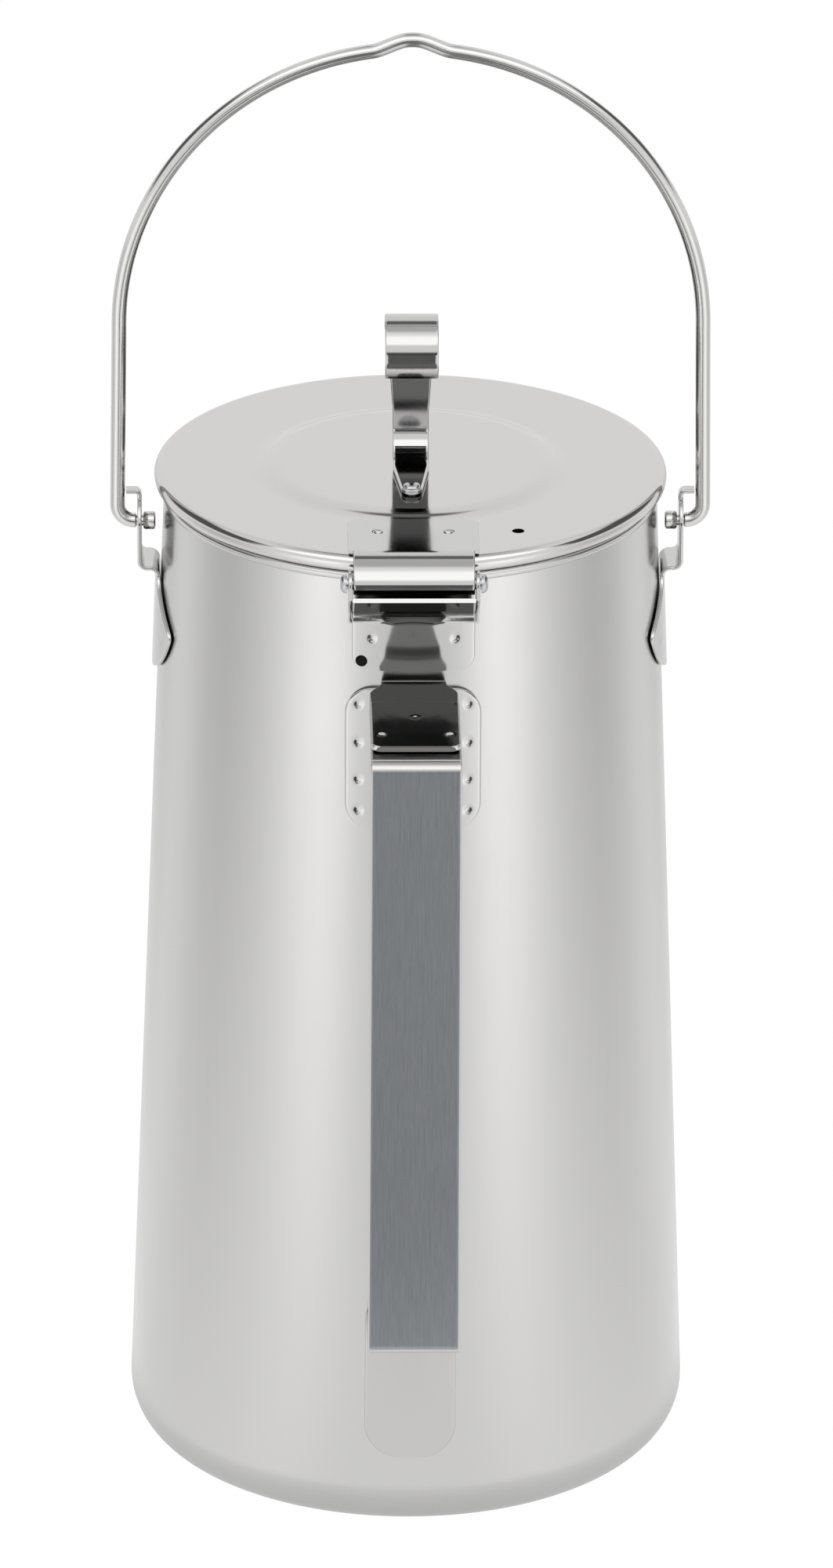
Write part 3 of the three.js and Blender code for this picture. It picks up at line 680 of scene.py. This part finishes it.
def painted_hole_shade(material, centre, radius):
    """Painted shade: turns the steel black and dull within a radius of a place, as it looks deep in a small
    hole.
    """
    tree = material.node_tree
    place = tree.nodes.new("ShaderNodeTexCoord").outputs["Object"]
    away = vector_node(tree, "DISTANCE", place, centre)["Value"]
    mask = mapped(tree, away, radius, HOLE_SHADE_FADE * radius, 1, 0)
    overlay(material, "Base Color", "RGBA", mask, HOLE_SHADE_COLOR)
    overlay(material, "Roughness", "FLOAT", mask, HOLE_SHADE_ROUGHNESS)
    overlay(material, "Metallic", "FLOAT", mask, 0.0)


# The mirrored share of each steel is painted shade in its reflections; the polished sheet and the ear sheet
# are one look with different painted shade
BODY_STEEL = steel("body steel", (0.67, 0.665, 0.66), low=0.17, high=0.22, wave=0.00004, mirrored=0.92)
LID_STEEL = steel("lid steel", (0.71, 0.695, 0.69), low=0.06, high=0.10, wave=0.00003, mirrored=0.95)
SHEET_STEEL = steel("polished sheet", **SHEET_LOOK, mirrored=0.16)
EAR_STEEL = steel("ear sheet", **SHEET_LOOK, mirrored=0.75)
PIN_STEEL = steel("pin steel", (0.58, 0.58, 0.59), low=0.12, high=0.2, wave=0.00001, mirrored=0.5)
WIRE_STEEL = steel("wire steel", (0.72, 0.715, 0.71), low=0.12, high=0.18, wave=0.00001, mirrored=0.6)
STRAP_STEEL = steel("brushed strap", (0.64, 0.63, 0.615), low=0.14, high=0.2, wave=0.00001, mirrored=0.3)
brush_front(STRAP_STEEL, level=GRIP_LOW_Z - STRAP_SHEET / 2, color=(0.365, 0.382, 0.398), roughness=0.3,
            stretch=(4200, 60, 100), depth=0.000014)
satin_inside(BODY_STEEL, metallic=0.25, roughness=0.35)
# Painted shade: black, dull steel on the wall behind the hinge bracket's drain hole
painted_hole_shade(BODY_STEEL, (DRAIN_X, -wall_radius(DRAIN_Z), DRAIN_Z), HOLE_SHADE_REACH)


# Pieces of the body

def body_profile():
    """Middle line of the drawn sheet out along the base, up the wall, then round the bead and back
    inside."""
    half = BODY_SHEET / 2
    bead_z = BODY_HEIGHT - RIM_BEAD
    bead_x = wall_radius(bead_z) - half
    line = bent_line([(0, half), (wall_radius(0) - half, half, BASE_CORNER - half), (bead_x, bead_z)])
    line = resampled(line, BODY_STEP)
    along = directions(line)
    across = np.column_stack([along[:, 1], -along[:, 0]]) * half
    neck = math.asin(half / RIM_BEAD)
    bead = arc((bead_x, bead_z), RIM_BEAD, neck - math.pi / 2, 1.5 * math.pi - neck)
    profile = np.vstack([(line + across)[:-1], bead, (line - across)[:-1][::-1]])
    profile[[0, -1], 0] = 0
    return profile


def make_body():
    """The profile turned about Z, and strainer holes behind the spout: each row has one hole less than the
    row above, and the holes stand in even triangles."""
    shell = revolved(body_profile())
    body = make_piece("body", [shell], BODY_STEEL, "kettle_body", "body_shell")
    rods = []
    top = BODY_HEIGHT - SPOUT_DROP - SPOUT_HEIGHT / 4
    near = RIM_RADIUS - BODY_SHEET - OVERRUN
    for row in range(STRAINER_ROWS):
        count = STRAINER_ROWS - row
        z = top - row * STRAINER_PITCH * math.sin(math.pi / 3)
        for i in range(count):
            x = (i - (count - 1) / 2) * STRAINER_PITCH
            rods.append(rod_surface(STRAINER_HOLE, (x, near, z), (x, BASE_RADIUS, z)))
    drill(body, rods)


def spout_skin(height_shares, inset):
    """Rows of a flattened cone, widest at the lip: x is half width times share times cosine, y the wall
    plus reach times share times sine. Each row starts and ends where its ellipse meets the wall."""
    lip = BODY_HEIGHT - SPOUT_DROP
    z = lip - SPOUT_HEIGHT * (1 - height_shares)
    wide = np.maximum(SPOUT_HALF_WIDTH * height_shares - inset, SPOUT_LEAST)
    deep = np.maximum(SPOUT_REACH * height_shares - inset, 2 * SPOUT_LEAST)
    centre = wall_radius(lip)
    wall = wall_radius(z) - BODY_SHEET / 4
    a = deep ** 2 - wide ** 2
    b = 2 * centre * deep
    c = wide ** 2 + centre ** 2 - wall ** 2
    start = np.arcsin(np.clip((-b + np.sqrt(np.maximum(b ** 2 - 4 * a * c, 0))) / (2 * a), -1, 1))
    share = np.linspace(0, 1, SPOUT_COLUMNS)[None, :]
    angle = start[:, None] + (math.pi - 2 * start[:, None]) * share
    x = wide[:, None] * np.cos(angle)
    y = centre + deep[:, None] * np.sin(angle)
    return np.stack([x, y, np.broadcast_to(z[:, None], x.shape)], axis=-1)


def make_spout():
    """The beak's outer skin and an inner one drawn in by the sheet, joined along the wall, at the tip and
    at the lip."""
    shares = np.linspace(SPOUT_TIP_SHARE, 1, SPOUT_ROWS)
    outer = spout_skin(shares, 0.0)
    inner = spout_skin(shares, BODY_SHEET)
    rings = np.concatenate([outer, inner[:, ::-1]], axis=1)
    rows, ring = rings.shape[:2]
    faces = ring_faces(rows, ring)
    half = ring // 2
    last = (rows - 1) * ring
    for i in range(half - 1):
        faces.append([i + 1, i, ring - 1 - i, ring - 2 - i])
        faces.append([last + i, last + i + 1, last + ring - 2 - i, last + ring - 1 - i])
    make_piece("beak", [(rings.reshape(-1, 3), faces)], BODY_STEEL, "kettle_body", "spout")


# Lid and its fittings

def make_lid():
    """A sheet turned about Z: the raised disc, its step, the flat, the edge bent down and the hem bent in,
    with the steam hole drilled."""
    half = LID_SHEET / 2
    edge = LID_RADIUS - half
    line = bent_line([
        (0, DISC_TOP - half),
        (DISC_RADIUS - DISC_STEP, DISC_TOP - half, DISC_BEND),
        (DISC_RADIUS, LID_TOP - half, DISC_BEND),
        (edge, LID_TOP - half, LID_BEND - half),
        (edge, LID_BOTTOM + half, LID_BEND - half),
        (edge - LID_HEM, LID_BOTTOM + half),
    ])
    profile = sheet_profile(resampled(line, 3 * ROW_STEP), LID_SHEET)
    lid = make_piece("lid", [revolved(profile)], LID_STEEL, "lid", "lid_shell")
    x = STEAM_OFFSET * math.sin(STEAM_ANGLE)
    y = -STEAM_OFFSET * math.cos(STEAM_ANGLE)
    drill(lid, [rod_surface(STEAM_HOLE, (x, y, LID_TOP - 3 * LID_SHEET), (x, y, LID_TOP + LID_SHEET))])


def make_lift():
    """A foot on the disc, a riser and a curl back over the foot's side. The width goes by distance along
    the strap."""
    foot_z = DISC_TOP + SEAT_GAP + KNOB_SHEET / 2
    curl_z = DISC_TOP + KNOB_HEIGHT - KNOB_SHEET / 2 - KNOB_CURL
    curl_y = KNOB_RISER - KNOB_CURL
    foot = bent_line([(-KNOB_FOOT, foot_z), (KNOB_RISER, foot_z, KNOB_BEND), (KNOB_RISER, curl_z)])
    curl = arc((curl_y, curl_z), KNOB_CURL, 0, KNOB_SWEEP, steps=60)
    line = resampled(np.vstack([foot, curl[1:]]), ROW_STEP, KNOB_TIP)
    along = distances(line)
    waist = KNOB_FOOT + KNOB_BEND
    riser_top = waist + curl_z - KNOB_CURL - foot_z - KNOB_BEND
    curl_start = riser_top + KNOB_CURL
    width = np.interp(along, [KNOB_TIP, KNOB_FOOT - KNOB_BEND, waist, riser_top, curl_start],
                      [2 * KNOB_TIP, KNOB_WAIST_WIDTH, KNOB_WAIST_WIDTH, KNOB_TOP_WIDTH, KNOB_CURL_WIDTH])
    half = rounded_end(along, width / 2, KNOB_TIP)
    lift = strap(line, half, KNOB_SHEET)
    make_piece("lift", [lift], SHEET_STEEL, "lid", "knob_strap")


def make_rivet():
    """A flat head under the lid, the shank through lid and foot, and a domed head on top."""
    top = DISC_TOP + SEAT_GAP + KNOB_SHEET
    low = DISC_TOP - LID_SHEET - SEAT_GAP
    head = low - RIVET_DOME
    dome = arc((0, 0), 1, 0, math.pi / 2, steps=12) * (RIVET_HEAD, RIVET_DOME) + (0, top)
    shank = [[0, head], [RIVET_HEAD, head], [RIVET_HEAD, low], [RIVET_SHANK, low], [RIVET_SHANK, top]]
    profile = np.vstack([shank, dome])
    profile[-1, 0] = 0
    points, faces = revolved(profile, steps=48)
    surface = (points + np.array([0, -RIVET_PLACE, 0]), faces)
    make_piece("rivet", [surface], PIN_STEEL, "lid", "knob_rivet")


def make_leaf():
    """The leaf lies on the lid, rolls over past its edge and then curls tighter round the pin. The roll's
    radius is the one that joins the flat to the curl without a corner."""
    leaf_z = LID_TOP + SEAT_GAP + LEAF_SHEET / 2
    rise = math.sin(ROLL_END)
    roll = (leaf_z - PIN_Z - BARREL_MIDDLE * rise) / (1 - rise)
    roll_y = PIN_Y + (roll - BARREL_MIDDLE) * math.cos(ROLL_END)
    turn = math.pi - ROLL_END
    back = [[-DISC_RADIUS - LEAF_INSET, leaf_z]]
    over = arc((roll_y, leaf_z - roll), roll, math.pi / 2, turn, steps=40)
    curl = arc((PIN_Y, PIN_Z), BARREL_MIDDLE, turn, turn + BARREL_SWEEP, steps=60)
    line = resampled(np.vstack([back, over, curl[1:]]), ROW_STEP / 2, LEAF_CORNER)
    along = distances(line)
    step_y = PIN_Y + LUG_EYE
    half = np.interp(line[:, 0], [step_y, step_y + (LEAF_WIDTH - BARREL_WIDTH) / 2],
                     [BARREL_WIDTH / 2, LEAF_WIDTH / 2])
    half = np.where(along > along[-1] / 2, BARREL_WIDTH / 2, half)
    half = np.where(along < LEAF_CORNER, rounded_end(along, LEAF_WIDTH / 2, LEAF_CORNER), half)
    welds = [(x, LEAF_WELD_Y, leaf_z, -1, LEAF_WELD_DEPTH) for x in (-LEAF_WELD_X, LEAF_WELD_X)]
    leaf = strap(line, half, LEAF_SHEET, columns=90, dents=welds)
    make_piece("hinge_leaf", [leaf], SHEET_STEEL, "lid", "lid_hinge_leaf")


def make_pin():
    """A pin along X with a domed head at each end, where the radius goes by the root of the cosine and the
    length by the sine."""
    head = PIN_HALF_LENGTH - PIN_HEAD_LENGTH
    cosine, sine = arc((0, 0), 1, 0, math.pi / 2, steps=8).T
    dome = np.column_stack([PIN_HEAD * np.sqrt(cosine), head + PIN_HEAD_LENGTH * sine])
    upper = np.vstack([[PIN_RADIUS, 0], [PIN_RADIUS, head], dome])
    upper[-1, 0] = 0
    profile = np.vstack([upper[::-1] * (1, -1), upper[1:]])
    points, faces = revolved(profile, steps=40)
    points = points[:, [2, 0, 1]] + np.array([0, PIN_Y, PIN_Z])
    make_piece("pin", [(points, faces)], PIN_STEEL, "kettle_body", "hinge_pin")


def on_wall(z, sheet):
    """Y of the middle of a sheet that lies on the wall's front, its weld gap inside."""
    return -(wall_radius(z) + SEAT_GAP + sheet / 2)


def weld_on_wall(x, z, sheet, side=1, depth=WELD_DEPTH):
    """A dent in the outer face of a plate that lies on the wall. The side is 1 where the plate's line goes
    up and -1 where it goes down."""
    return (x, -math.sqrt(on_wall(z, sheet) ** 2 - x ** 2), z, side, depth)


def make_hinge_bracket():
    """A plate that follows the wall and bends out into the cradle under the barrel, and a lug round the pin
    at each end of the cradle."""
    low = BODY_HEIGHT - BRACKET_DROP
    corner = PIN_Z - CRADLE_DROP
    lip = (PIN_Y - LIP_REACH, PIN_Z - LIP_DROP)
    line = bent_line([
        (on_wall(low, LEAF_SHEET), low),
        (on_wall(corner, LEAF_SHEET), corner, CRADLE_RADIUS),
        lip,
    ])
    middle = line[1 + 2 * BEND_STEPS // 3]
    line = resampled(line, ROW_STEP, BRACKET_CORNER)
    half = rounded_end(distances(line), BRACKET_WIDTH / 2, BRACKET_CORNER)
    wrap = 1 - smooth_step(line[:, 1], corner - CRADLE_RADIUS / 2, corner)
    welds = [weld_on_wall(x, BRACKET_WELD_Z, LEAF_SHEET) for x in (-BRACKET_WELD_X, BRACKET_WELD_X)]
    plate = strap(line, half, LEAF_SHEET, columns=90, wrap=wrap, dents=welds)
    eye = arc((PIN_Y, PIN_Z), LUG_EYE, math.pi, 0)
    root = [on_wall(corner, LEAF_SHEET), middle[1] - LIP_DROP]
    outline = np.vstack([root, middle, lip, eye, [PIN_Y + LUG_EYE, PIN_Z - LUG_EYE]])
    lug_x = BRACKET_WIDTH / 2 + LUG_SHEET / 2
    lugs = [cut_plate(outline, side * lug_x, LUG_SHEET) for side in (-1, 1)]
    bracket = make_piece("hinge_plate", [plate], SHEET_STEEL, "kettle_body",
                         "hinge_bracket")
    drain = rod_surface(DRAIN_HOLE, (DRAIN_X, PIN_Y, DRAIN_Z), (DRAIN_X, PIN_Y + DRAIN_DEPTH, DRAIN_Z))
    drill(bracket, [drain])
    make_piece("hinge_lugs", lugs, SHEET_STEEL, "kettle_body", "hinge_bracket")


def make_handle_bracket():
    """A plate on the wall, bent out into an arm that steps up and lies on the grip strap. The half width is
    that of the plate with its rounded corners, then that of the neck, which flares to the arm's width."""
    plate_top = ARM_Z - PLATE_SHOULDER
    plate_low = plate_top - PLATE_HEIGHT
    wall_y = on_wall(ARM_Z, ARM_SHEET)
    step_y = wall_y - ARM_STEP_PLACE
    step_up = STRAP_SHEET / 2 + ARM_SHEET / 2 + SEAT_GAP
    end_y = ARM_END_INSET - wall_radius(ARM_Z) - GRIP_REACH
    line = bent_line([
        (on_wall(plate_low, ARM_SHEET), plate_low),
        (wall_y, ARM_Z, ARM_BEND),
        (step_y, ARM_Z, ARM_SHEET),
        (step_y - ARM_STEP, ARM_Z + step_up, ARM_SHEET),
        (end_y, ARM_Z + step_up),
    ])
    line = resampled(line, ROW_STEP, PLATE_CORNER, ARM_END_CORNER)
    along = distances(line)
    y, z = line.T
    plate_end = np.interp(plate_top, [plate_low, ARM_Z - ARM_BEND], [0, ARM_Z - ARM_BEND - plate_low])
    plate = np.minimum(rounded_end(along, PLATE_WIDTH / 2, PLATE_CORNER),
                       rounded_end(plate_end - along, PLATE_WIDTH / 2, PLATE_CORNER))
    flare = ARM_NECK / 2 + (ARM_WIDTH - ARM_NECK) / 2 * smooth_step(
        wall_y - y, ARM_FLARE_START, ARM_FLARE_START + ARM_FLARE)
    arm = np.minimum(flare, rounded_end(along[-1] - along, ARM_WIDTH / 2, ARM_END_CORNER))
    half = np.where(along < plate_end, plate, arm)
    wrap = np.where(y < wall_y - ARM_BEND, 0, 1 - smooth_step(z, ARM_Z - ARM_BEND, ARM_Z))
    sides = (-PLATE_WELD_X, PLATE_WELD_X)
    welds = [weld_on_wall(at_x, at_z, ARM_SHEET) for at_z in PLATE_WELD_ROWS for at_x in sides]
    welds += [(at_x, at_y, ARM_Z + step_up, -1, WELD_DEPTH) for at_x, at_y in ARM_WELDS]
    bracket = strap(line, half, ARM_SHEET, columns=90, wrap=wrap, dents=welds)
    make_piece("handle_arm", [bracket], SHEET_STEEL, "kettle_body", "handle_bracket")


def make_grip():
    """One strap: the run out from the wall, the grip down, the lower arm back to the wall and the foot
    plate down it. The width goes evenly with the height."""
    top_y = -(wall_radius(ARM_Z) + GRIP_REACH)
    low_y = -(wall_radius(GRIP_LOW_Z) + GRIP_REACH - GRIP_LEAN)
    foot_top = GRIP_LOW_Z - LOWER_ARM_RISE
    line = bent_line([
        (on_wall(ARM_Z, ARM_SHEET) - STRAP_START, ARM_Z),
        (top_y, ARM_Z, GRIP_TOP_BEND),
        (low_y, GRIP_LOW_Z, GRIP_LOW_BEND),
        (on_wall(foot_top, STRAP_SHEET), foot_top, LOWER_ARM_BEND),
        (on_wall(FOOT_Z, STRAP_SHEET), FOOT_Z),
    ])
    line = resampled(line, ROW_STEP, 0.0, FOOT_CORNER)
    along = distances(line)
    half = np.interp(line[:, 1], [FOOT_Z, ARM_Z], [STRAP_FOOT_WIDTH / 2, STRAP_TOP_WIDTH / 2])
    half = np.minimum(half, rounded_end(along[-1] - along, STRAP_FOOT_WIDTH / 2, FOOT_CORNER))
    near = -(wall_radius(foot_top) + LOWER_ARM_BEND * 3)
    fitted = 1 - smooth_step(line[:, 1], foot_top - LOWER_ARM_BEND, foot_top + LOWER_ARM_BEND)
    wrap = np.where((line[:, 0] < near) | (line[:, 1] > GRIP_LOW_Z), 0, fitted)
    welds = [weld_on_wall(x, z, STRAP_SHEET, -1, FOOT_WELD_DEPTH) for x, z in FOOT_WELDS]
    grip = strap(line, half, STRAP_SHEET, columns=48, wrap=wrap, dents=welds)
    make_piece("grip", [grip], STRAP_STEEL, "kettle_body", "grip_strap")


def soft_least(a, b, blend):
    """The lesser of two values, rounded off where they come within the blend of each other."""
    share = np.clip(0.5 + (b - a) / (2 * blend), 0, 1)
    return b + (a - b) * share - blend * share * (1 - share)


def fan_half_width(z, low, web):
    """Half width of the ear's plate: a circle's sector up to its shoulder, then straight in to the neck,
    with both corners rounded."""
    centre = low + EAR_FAN_RADIUS
    shoulder = web - EAR_SHOULDER
    neck_z = web - EAR_EYE / 2
    corner = math.sqrt(EAR_FAN_RADIUS ** 2 - (centre - shoulder) ** 2)
    sector = np.sqrt(np.maximum(EAR_FAN_RADIUS ** 2 - (z - centre) ** 2, 0))
    slope = corner + (EAR_EYE - corner) * (z - shoulder) / (neck_z - shoulder)
    upper = -soft_least(-slope, np.full(len(z), -EAR_EYE), EAR_NECK_BEND / 2)
    return np.where(z < shoulder - EAR_CORNER, sector, soft_least(sector, upper, EAR_CORNER))


def ear_surfaces():
    """An ear as it would stand at the front: the fan on the wall, the web out and the eye up, and the
    rubbing tab bent out towards the bail's leg."""
    web = PIVOT_Z - EAR_WEB_DROP
    low = web - EAR_FAN_HEIGHT
    tip = LEG_X - WIRE_RADIUS - SEAT_GAP
    line = bent_line([
        (on_wall(low, EAR_SHEET), low),
        (on_wall(web, EAR_SHEET), web, EAR_BEND),
        (-EAR_X, web, EAR_BEND),
        (-EAR_X, PIVOT_Z + EAR_EYE),
    ])
    line = resampled(line, ROW_STEP, EAR_EYE, EAR_EYE)
    y, z = line.T
    half = fan_half_width(z, low, web)
    top = np.sqrt(np.maximum(EAR_EYE ** 2 - np.maximum(z - PIVOT_Z, 0) ** 2, 0))
    half = np.where(z > web - EAR_BEND / 2, top, half)
    off_wall = y < -(wall_radius(web) + EAR_STAND_OFF / 2)
    wrap = np.where(off_wall, 0, 1 - smooth_step(z, web - 2 * EAR_BEND, web))
    welds = [weld_on_wall(x, low + EAR_FAN_RADIUS / 2, EAR_SHEET) for x in (-EAR_WELD_X, EAR_WELD_X)]
    plate = strap(line, half, EAR_SHEET, columns=56, wrap=wrap, dents=welds)
    tab_line = bent_line([
        (-EAR_X, PIVOT_Z + EAR_EYE - TAB_OVERLAP),
        (-EAR_X, PIVOT_Z + TAB_RISE, TAB_BEND),
        (-tip, PIVOT_Z + TAB_RISE),
    ])
    tab = strap(resampled(tab_line, ROW_STEP / 2), TAB_WIDTH / 2, EAR_SHEET, columns=10)
    return [plate, tab]


def make_ears():
    """Both ears, each a quarter turn from the front."""
    for name, node, quarter in (("ear_plate_left", "ear_left", -1), ("ear_plate_right", "ear_right", 1)):
        surfaces = [turned(surface, quarter) for surface in ear_surfaces()]
        make_piece(name, surfaces, EAR_STEEL, "kettle_body", node)


# Bail

def bail_line():
    """Right half of the wire's middle line: the pin, the bend, the leg, the arch, and the hump at the
    crown."""
    radius = LEG_X - LEG_DRAW
    leg = bent_line([(HEAD_X - BAIL_HEAD_LENGTH, 0), (LEG_X, 0, WIRE_BEND), (radius, ARCH_RISE)])
    arch = arc((0, ARCH_RISE), radius, 0, math.pi / 2, steps=220)[1:]
    arch[:, 1] += HUMP_RISE * (1 - smooth_step(arch[:, 0], HUMP_FLAT, HUMP_END))
    return np.vstack([leg, arch])


def make_bail():
    """The wire and its radius at each point, with the left half as the mirror image of the right. The upset
    head, the pin and the wire's shoulder are steps in the radius."""
    half = bail_line()
    tip = half[0, 0]
    ends = [(tip + along, share * BAIL_HEAD) for along, share in HEAD_TIP]
    ends += [(HEAD_X + along, share * BAIL_HEAD) for along, share in HEAD_EDGE]
    ends += [(HEAD_X, BAIL_PIN), (SHOULDER_X, BAIL_PIN)]
    ends += [(SHOULDER_X + along, share * WIRE_RADIUS) for along, share in SHOULDER_EDGE]
    places, sizes = np.array(ends).T
    wire = resampled(half, WIRE_STEP)
    wire = wire[distances(wire) > SHOULDER_X + SHOULDER_CLEAR - tip]
    line = np.vstack([np.column_stack([places, np.zeros(len(places))]), wire])
    radius = np.concatenate([sizes, np.full(len(wire), WIRE_RADIUS)])
    line = np.vstack([line, line[:-1][::-1] * (-1, 1)]) + (0, PIVOT_Z)
    radius = np.concatenate([radius, radius[:-1][::-1]])
    make_piece("bail_wire", [swept_round(line, radius)], WIRE_STEEL, "bail", "bail")


# Studio

def ramp_node(tree, value, stops):
    """A ramp through stops of (place, grey)."""
    node = tree.nodes.new("ShaderNodeValToRGB")
    ramp = node.color_ramp
    while len(ramp.elements) < len(stops):
        ramp.elements.new(1)
    for element, (place, grey) in zip(ramp.elements, stops):
        element.position = place
        element.color = (grey, grey, grey, 1)
    return feed(tree, node, {"Fac": value})["Color"]


def turn_from_front(tree, place):
    """Angle round Z away from the handle's side, either way, as a share of half a turn."""
    parts = parts_of(tree, place)
    back = math_node(tree, "MULTIPLY", parts["Y"], -1)
    angle = math_node(tree, "ARCTAN2", parts["X"], back)
    return math_node(tree, "DIVIDE", math_node(tree, "ABSOLUTE", angle), math.pi)


def turn_stops(pairs):
    """Ramp stops from degrees round from the front."""
    return [(degrees / 180, grey) for degrees, grey in pairs]


def rise_stops(pairs):
    """Ramp stops from degrees above the horizon: the direction's height, moved from its range of -1 to 1 to
    0 to 1."""
    return [((math.sin(math.radians(degrees)) + 1) / 2, grey) for degrees, grey in pairs]


def gained(tree, share, gain):
    """Factor that goes from 1 to 1 plus the gain as the share goes from 0 to 1."""
    return math_node(tree, "ADD", math_node(tree, "MULTIPLY", share, gain), 1)


def panel(tree, turn, rise, by_turn, by_rise, gain):
    """Factor of a panel in the studio: 1 plus its gain where both its ranges hold."""
    across = ramp_node(tree, turn, turn_stops(by_turn))
    up = ramp_node(tree, rise, rise_stops(by_rise))
    return gained(tree, math_node(tree, "MULTIPLY", across, up), gain)


def make_floor():
    """White paper that the camera sees evenly bright. What the steel mirrors of it is painted light: dimmed
    by a painted shade of the kettle, even close by, and brighter or darker further out by the angle round
    the kettle, as lamps standing round it would make it, with a painted dark strip straight in front."""
    mesh = bpy.data.meshes.new("floor")
    corners = [(x * FLOOR_REACH, y * FLOOR_REACH, 0) for x, y in ((-1, -1), (1, -1), (1, 1), (-1, 1))]
    mesh.from_pydata(corners, [], [(0, 1, 2, 3)])
    paper = bpy.data.materials.new("floor paper")
    paper.use_nodes = True
    tree = paper.node_tree
    tree.nodes.clear()
    place = tree.nodes.new("ShaderNodeTexCoord").outputs["Object"]
    distance = vector_node(tree, "LENGTH", place)["Value"]
    turn = turn_from_front(tree, place)
    # Painted light: the glow the steel mirrors, brighter or darker by the angle round the kettle
    pattern = ramp_node(tree, turn, turn_stops(FLOOR_BY_TURN))
    grey = blended(tree, mapped(tree, distance, *PATTERN_REACH, 0, 1), "FLOAT", EVEN_FLOOR, pattern)
    # Painted shade of the kettle on the floor, as the steel mirrors it
    shade = mapped(tree, distance, *NEAR_FLOOR_REACH, NEAR_FLOOR_SHARE, 1)
    ahead = ramp_node(tree, turn, turn_stops(DARK_FLOOR))
    beyond = mapped(tree, distance, *DARK_FLOOR_REACH, 0, 1)
    strip = gained(tree, math_node(tree, "MULTIPLY", ahead, beyond), DARK_FLOOR_GAIN)
    mirrored = grey
    for factor in (shade, strip, FLOOR_WHITE):
        mirrored = math_node(tree, "MULTIPLY", mirrored, factor)
    seen = tree.nodes.new("ShaderNodeLightPath").outputs["Is Camera Ray"]
    strength = blended(tree, seen, "FLOAT", mirrored, 1.0)
    glow = feed(tree, tree.nodes.new("ShaderNodeEmission"), {"Strength": strength})["Emission"]
    feed(tree, tree.nodes.new("ShaderNodeOutputMaterial"), {"Surface": glow})
    mesh.materials.append(paper)
    floor = placed("floor", mesh)


def make_world():
    """White walls under a dimmer ceiling, with a bright panel high in front, a dark screen low in front,
    and dark flags high behind and at both sides."""
    world = bpy.data.worlds.new("studio")
    bpy.context.scene.world = world
    world.use_nodes = True
    tree = world.node_tree
    tree.nodes.clear()
    place = tree.nodes.new("ShaderNodeTexCoord").outputs["Generated"]
    turn = turn_from_front(tree, place)
    height = parts_of(tree, place)["Z"]
    rise = math_node(tree, "ADD", math_node(tree, "MULTIPLY", height, 0.5), 0.5)
    bright = math_node(tree, "MULTIPLY", ramp_node(tree, rise, rise_stops(WORLD_BY_RISE)), WORLD_WHITE)
    for by_turn, by_rise, gain in (FRONT_PANEL, FRONT_SCREEN, BACK_FLAG, SIDE_FLAGS):
        bright = math_node(tree, "MULTIPLY", bright, panel(tree, turn, rise, by_turn, by_rise, gain))
    light = feed(tree, tree.nodes.new("ShaderNodeBackground"), {"Strength": bright})["Background"]
    feed(tree, tree.nodes.new("ShaderNodeOutputWorld"), {"Surface": light})


def make_camera():
    """The photograph's camera: turned about Z by the yaw, tipped down by the pitch, then rolled about its
    own axis."""
    level = math.cos(CAMERA_PITCH)
    ahead = Vector((math.sin(CAMERA_YAW) * level, math.cos(CAMERA_YAW) * level, -math.sin(CAMERA_PITCH)))
    side = Vector((math.cos(CAMERA_YAW), -math.sin(CAMERA_YAW), 0))
    up = side.cross(ahead)
    rolled = side * math.cos(CAMERA_ROLL) - up * math.sin(CAMERA_ROLL)
    top = side * math.sin(CAMERA_ROLL) + up * math.cos(CAMERA_ROLL)
    lens = bpy.data.cameras.new("camera")
    lens.sensor_width = CAMERA_SENSOR
    lens.lens = CAMERA_LENS
    lens.clip_start = CAMERA_NEAREST
    lens.clip_end = CAMERA_FURTHEST
    camera = placed("camera", lens)
    turn = Matrix((rolled, top, -ahead)).transposed().to_4x4()
    camera.matrix_world = Matrix.Translation(Vector(CAMERA_PLACE)) @ turn
    bpy.context.scene.camera = camera


make_camera()
make_body()
make_spout()
make_lid()
make_lift()
make_rivet()
make_leaf()
make_pin()
make_hinge_bracket()
make_handle_bracket()
make_grip()
make_ears()
make_bail()
make_floor()
make_world()
bpy.context.scene.view_settings.view_transform = "Standard"
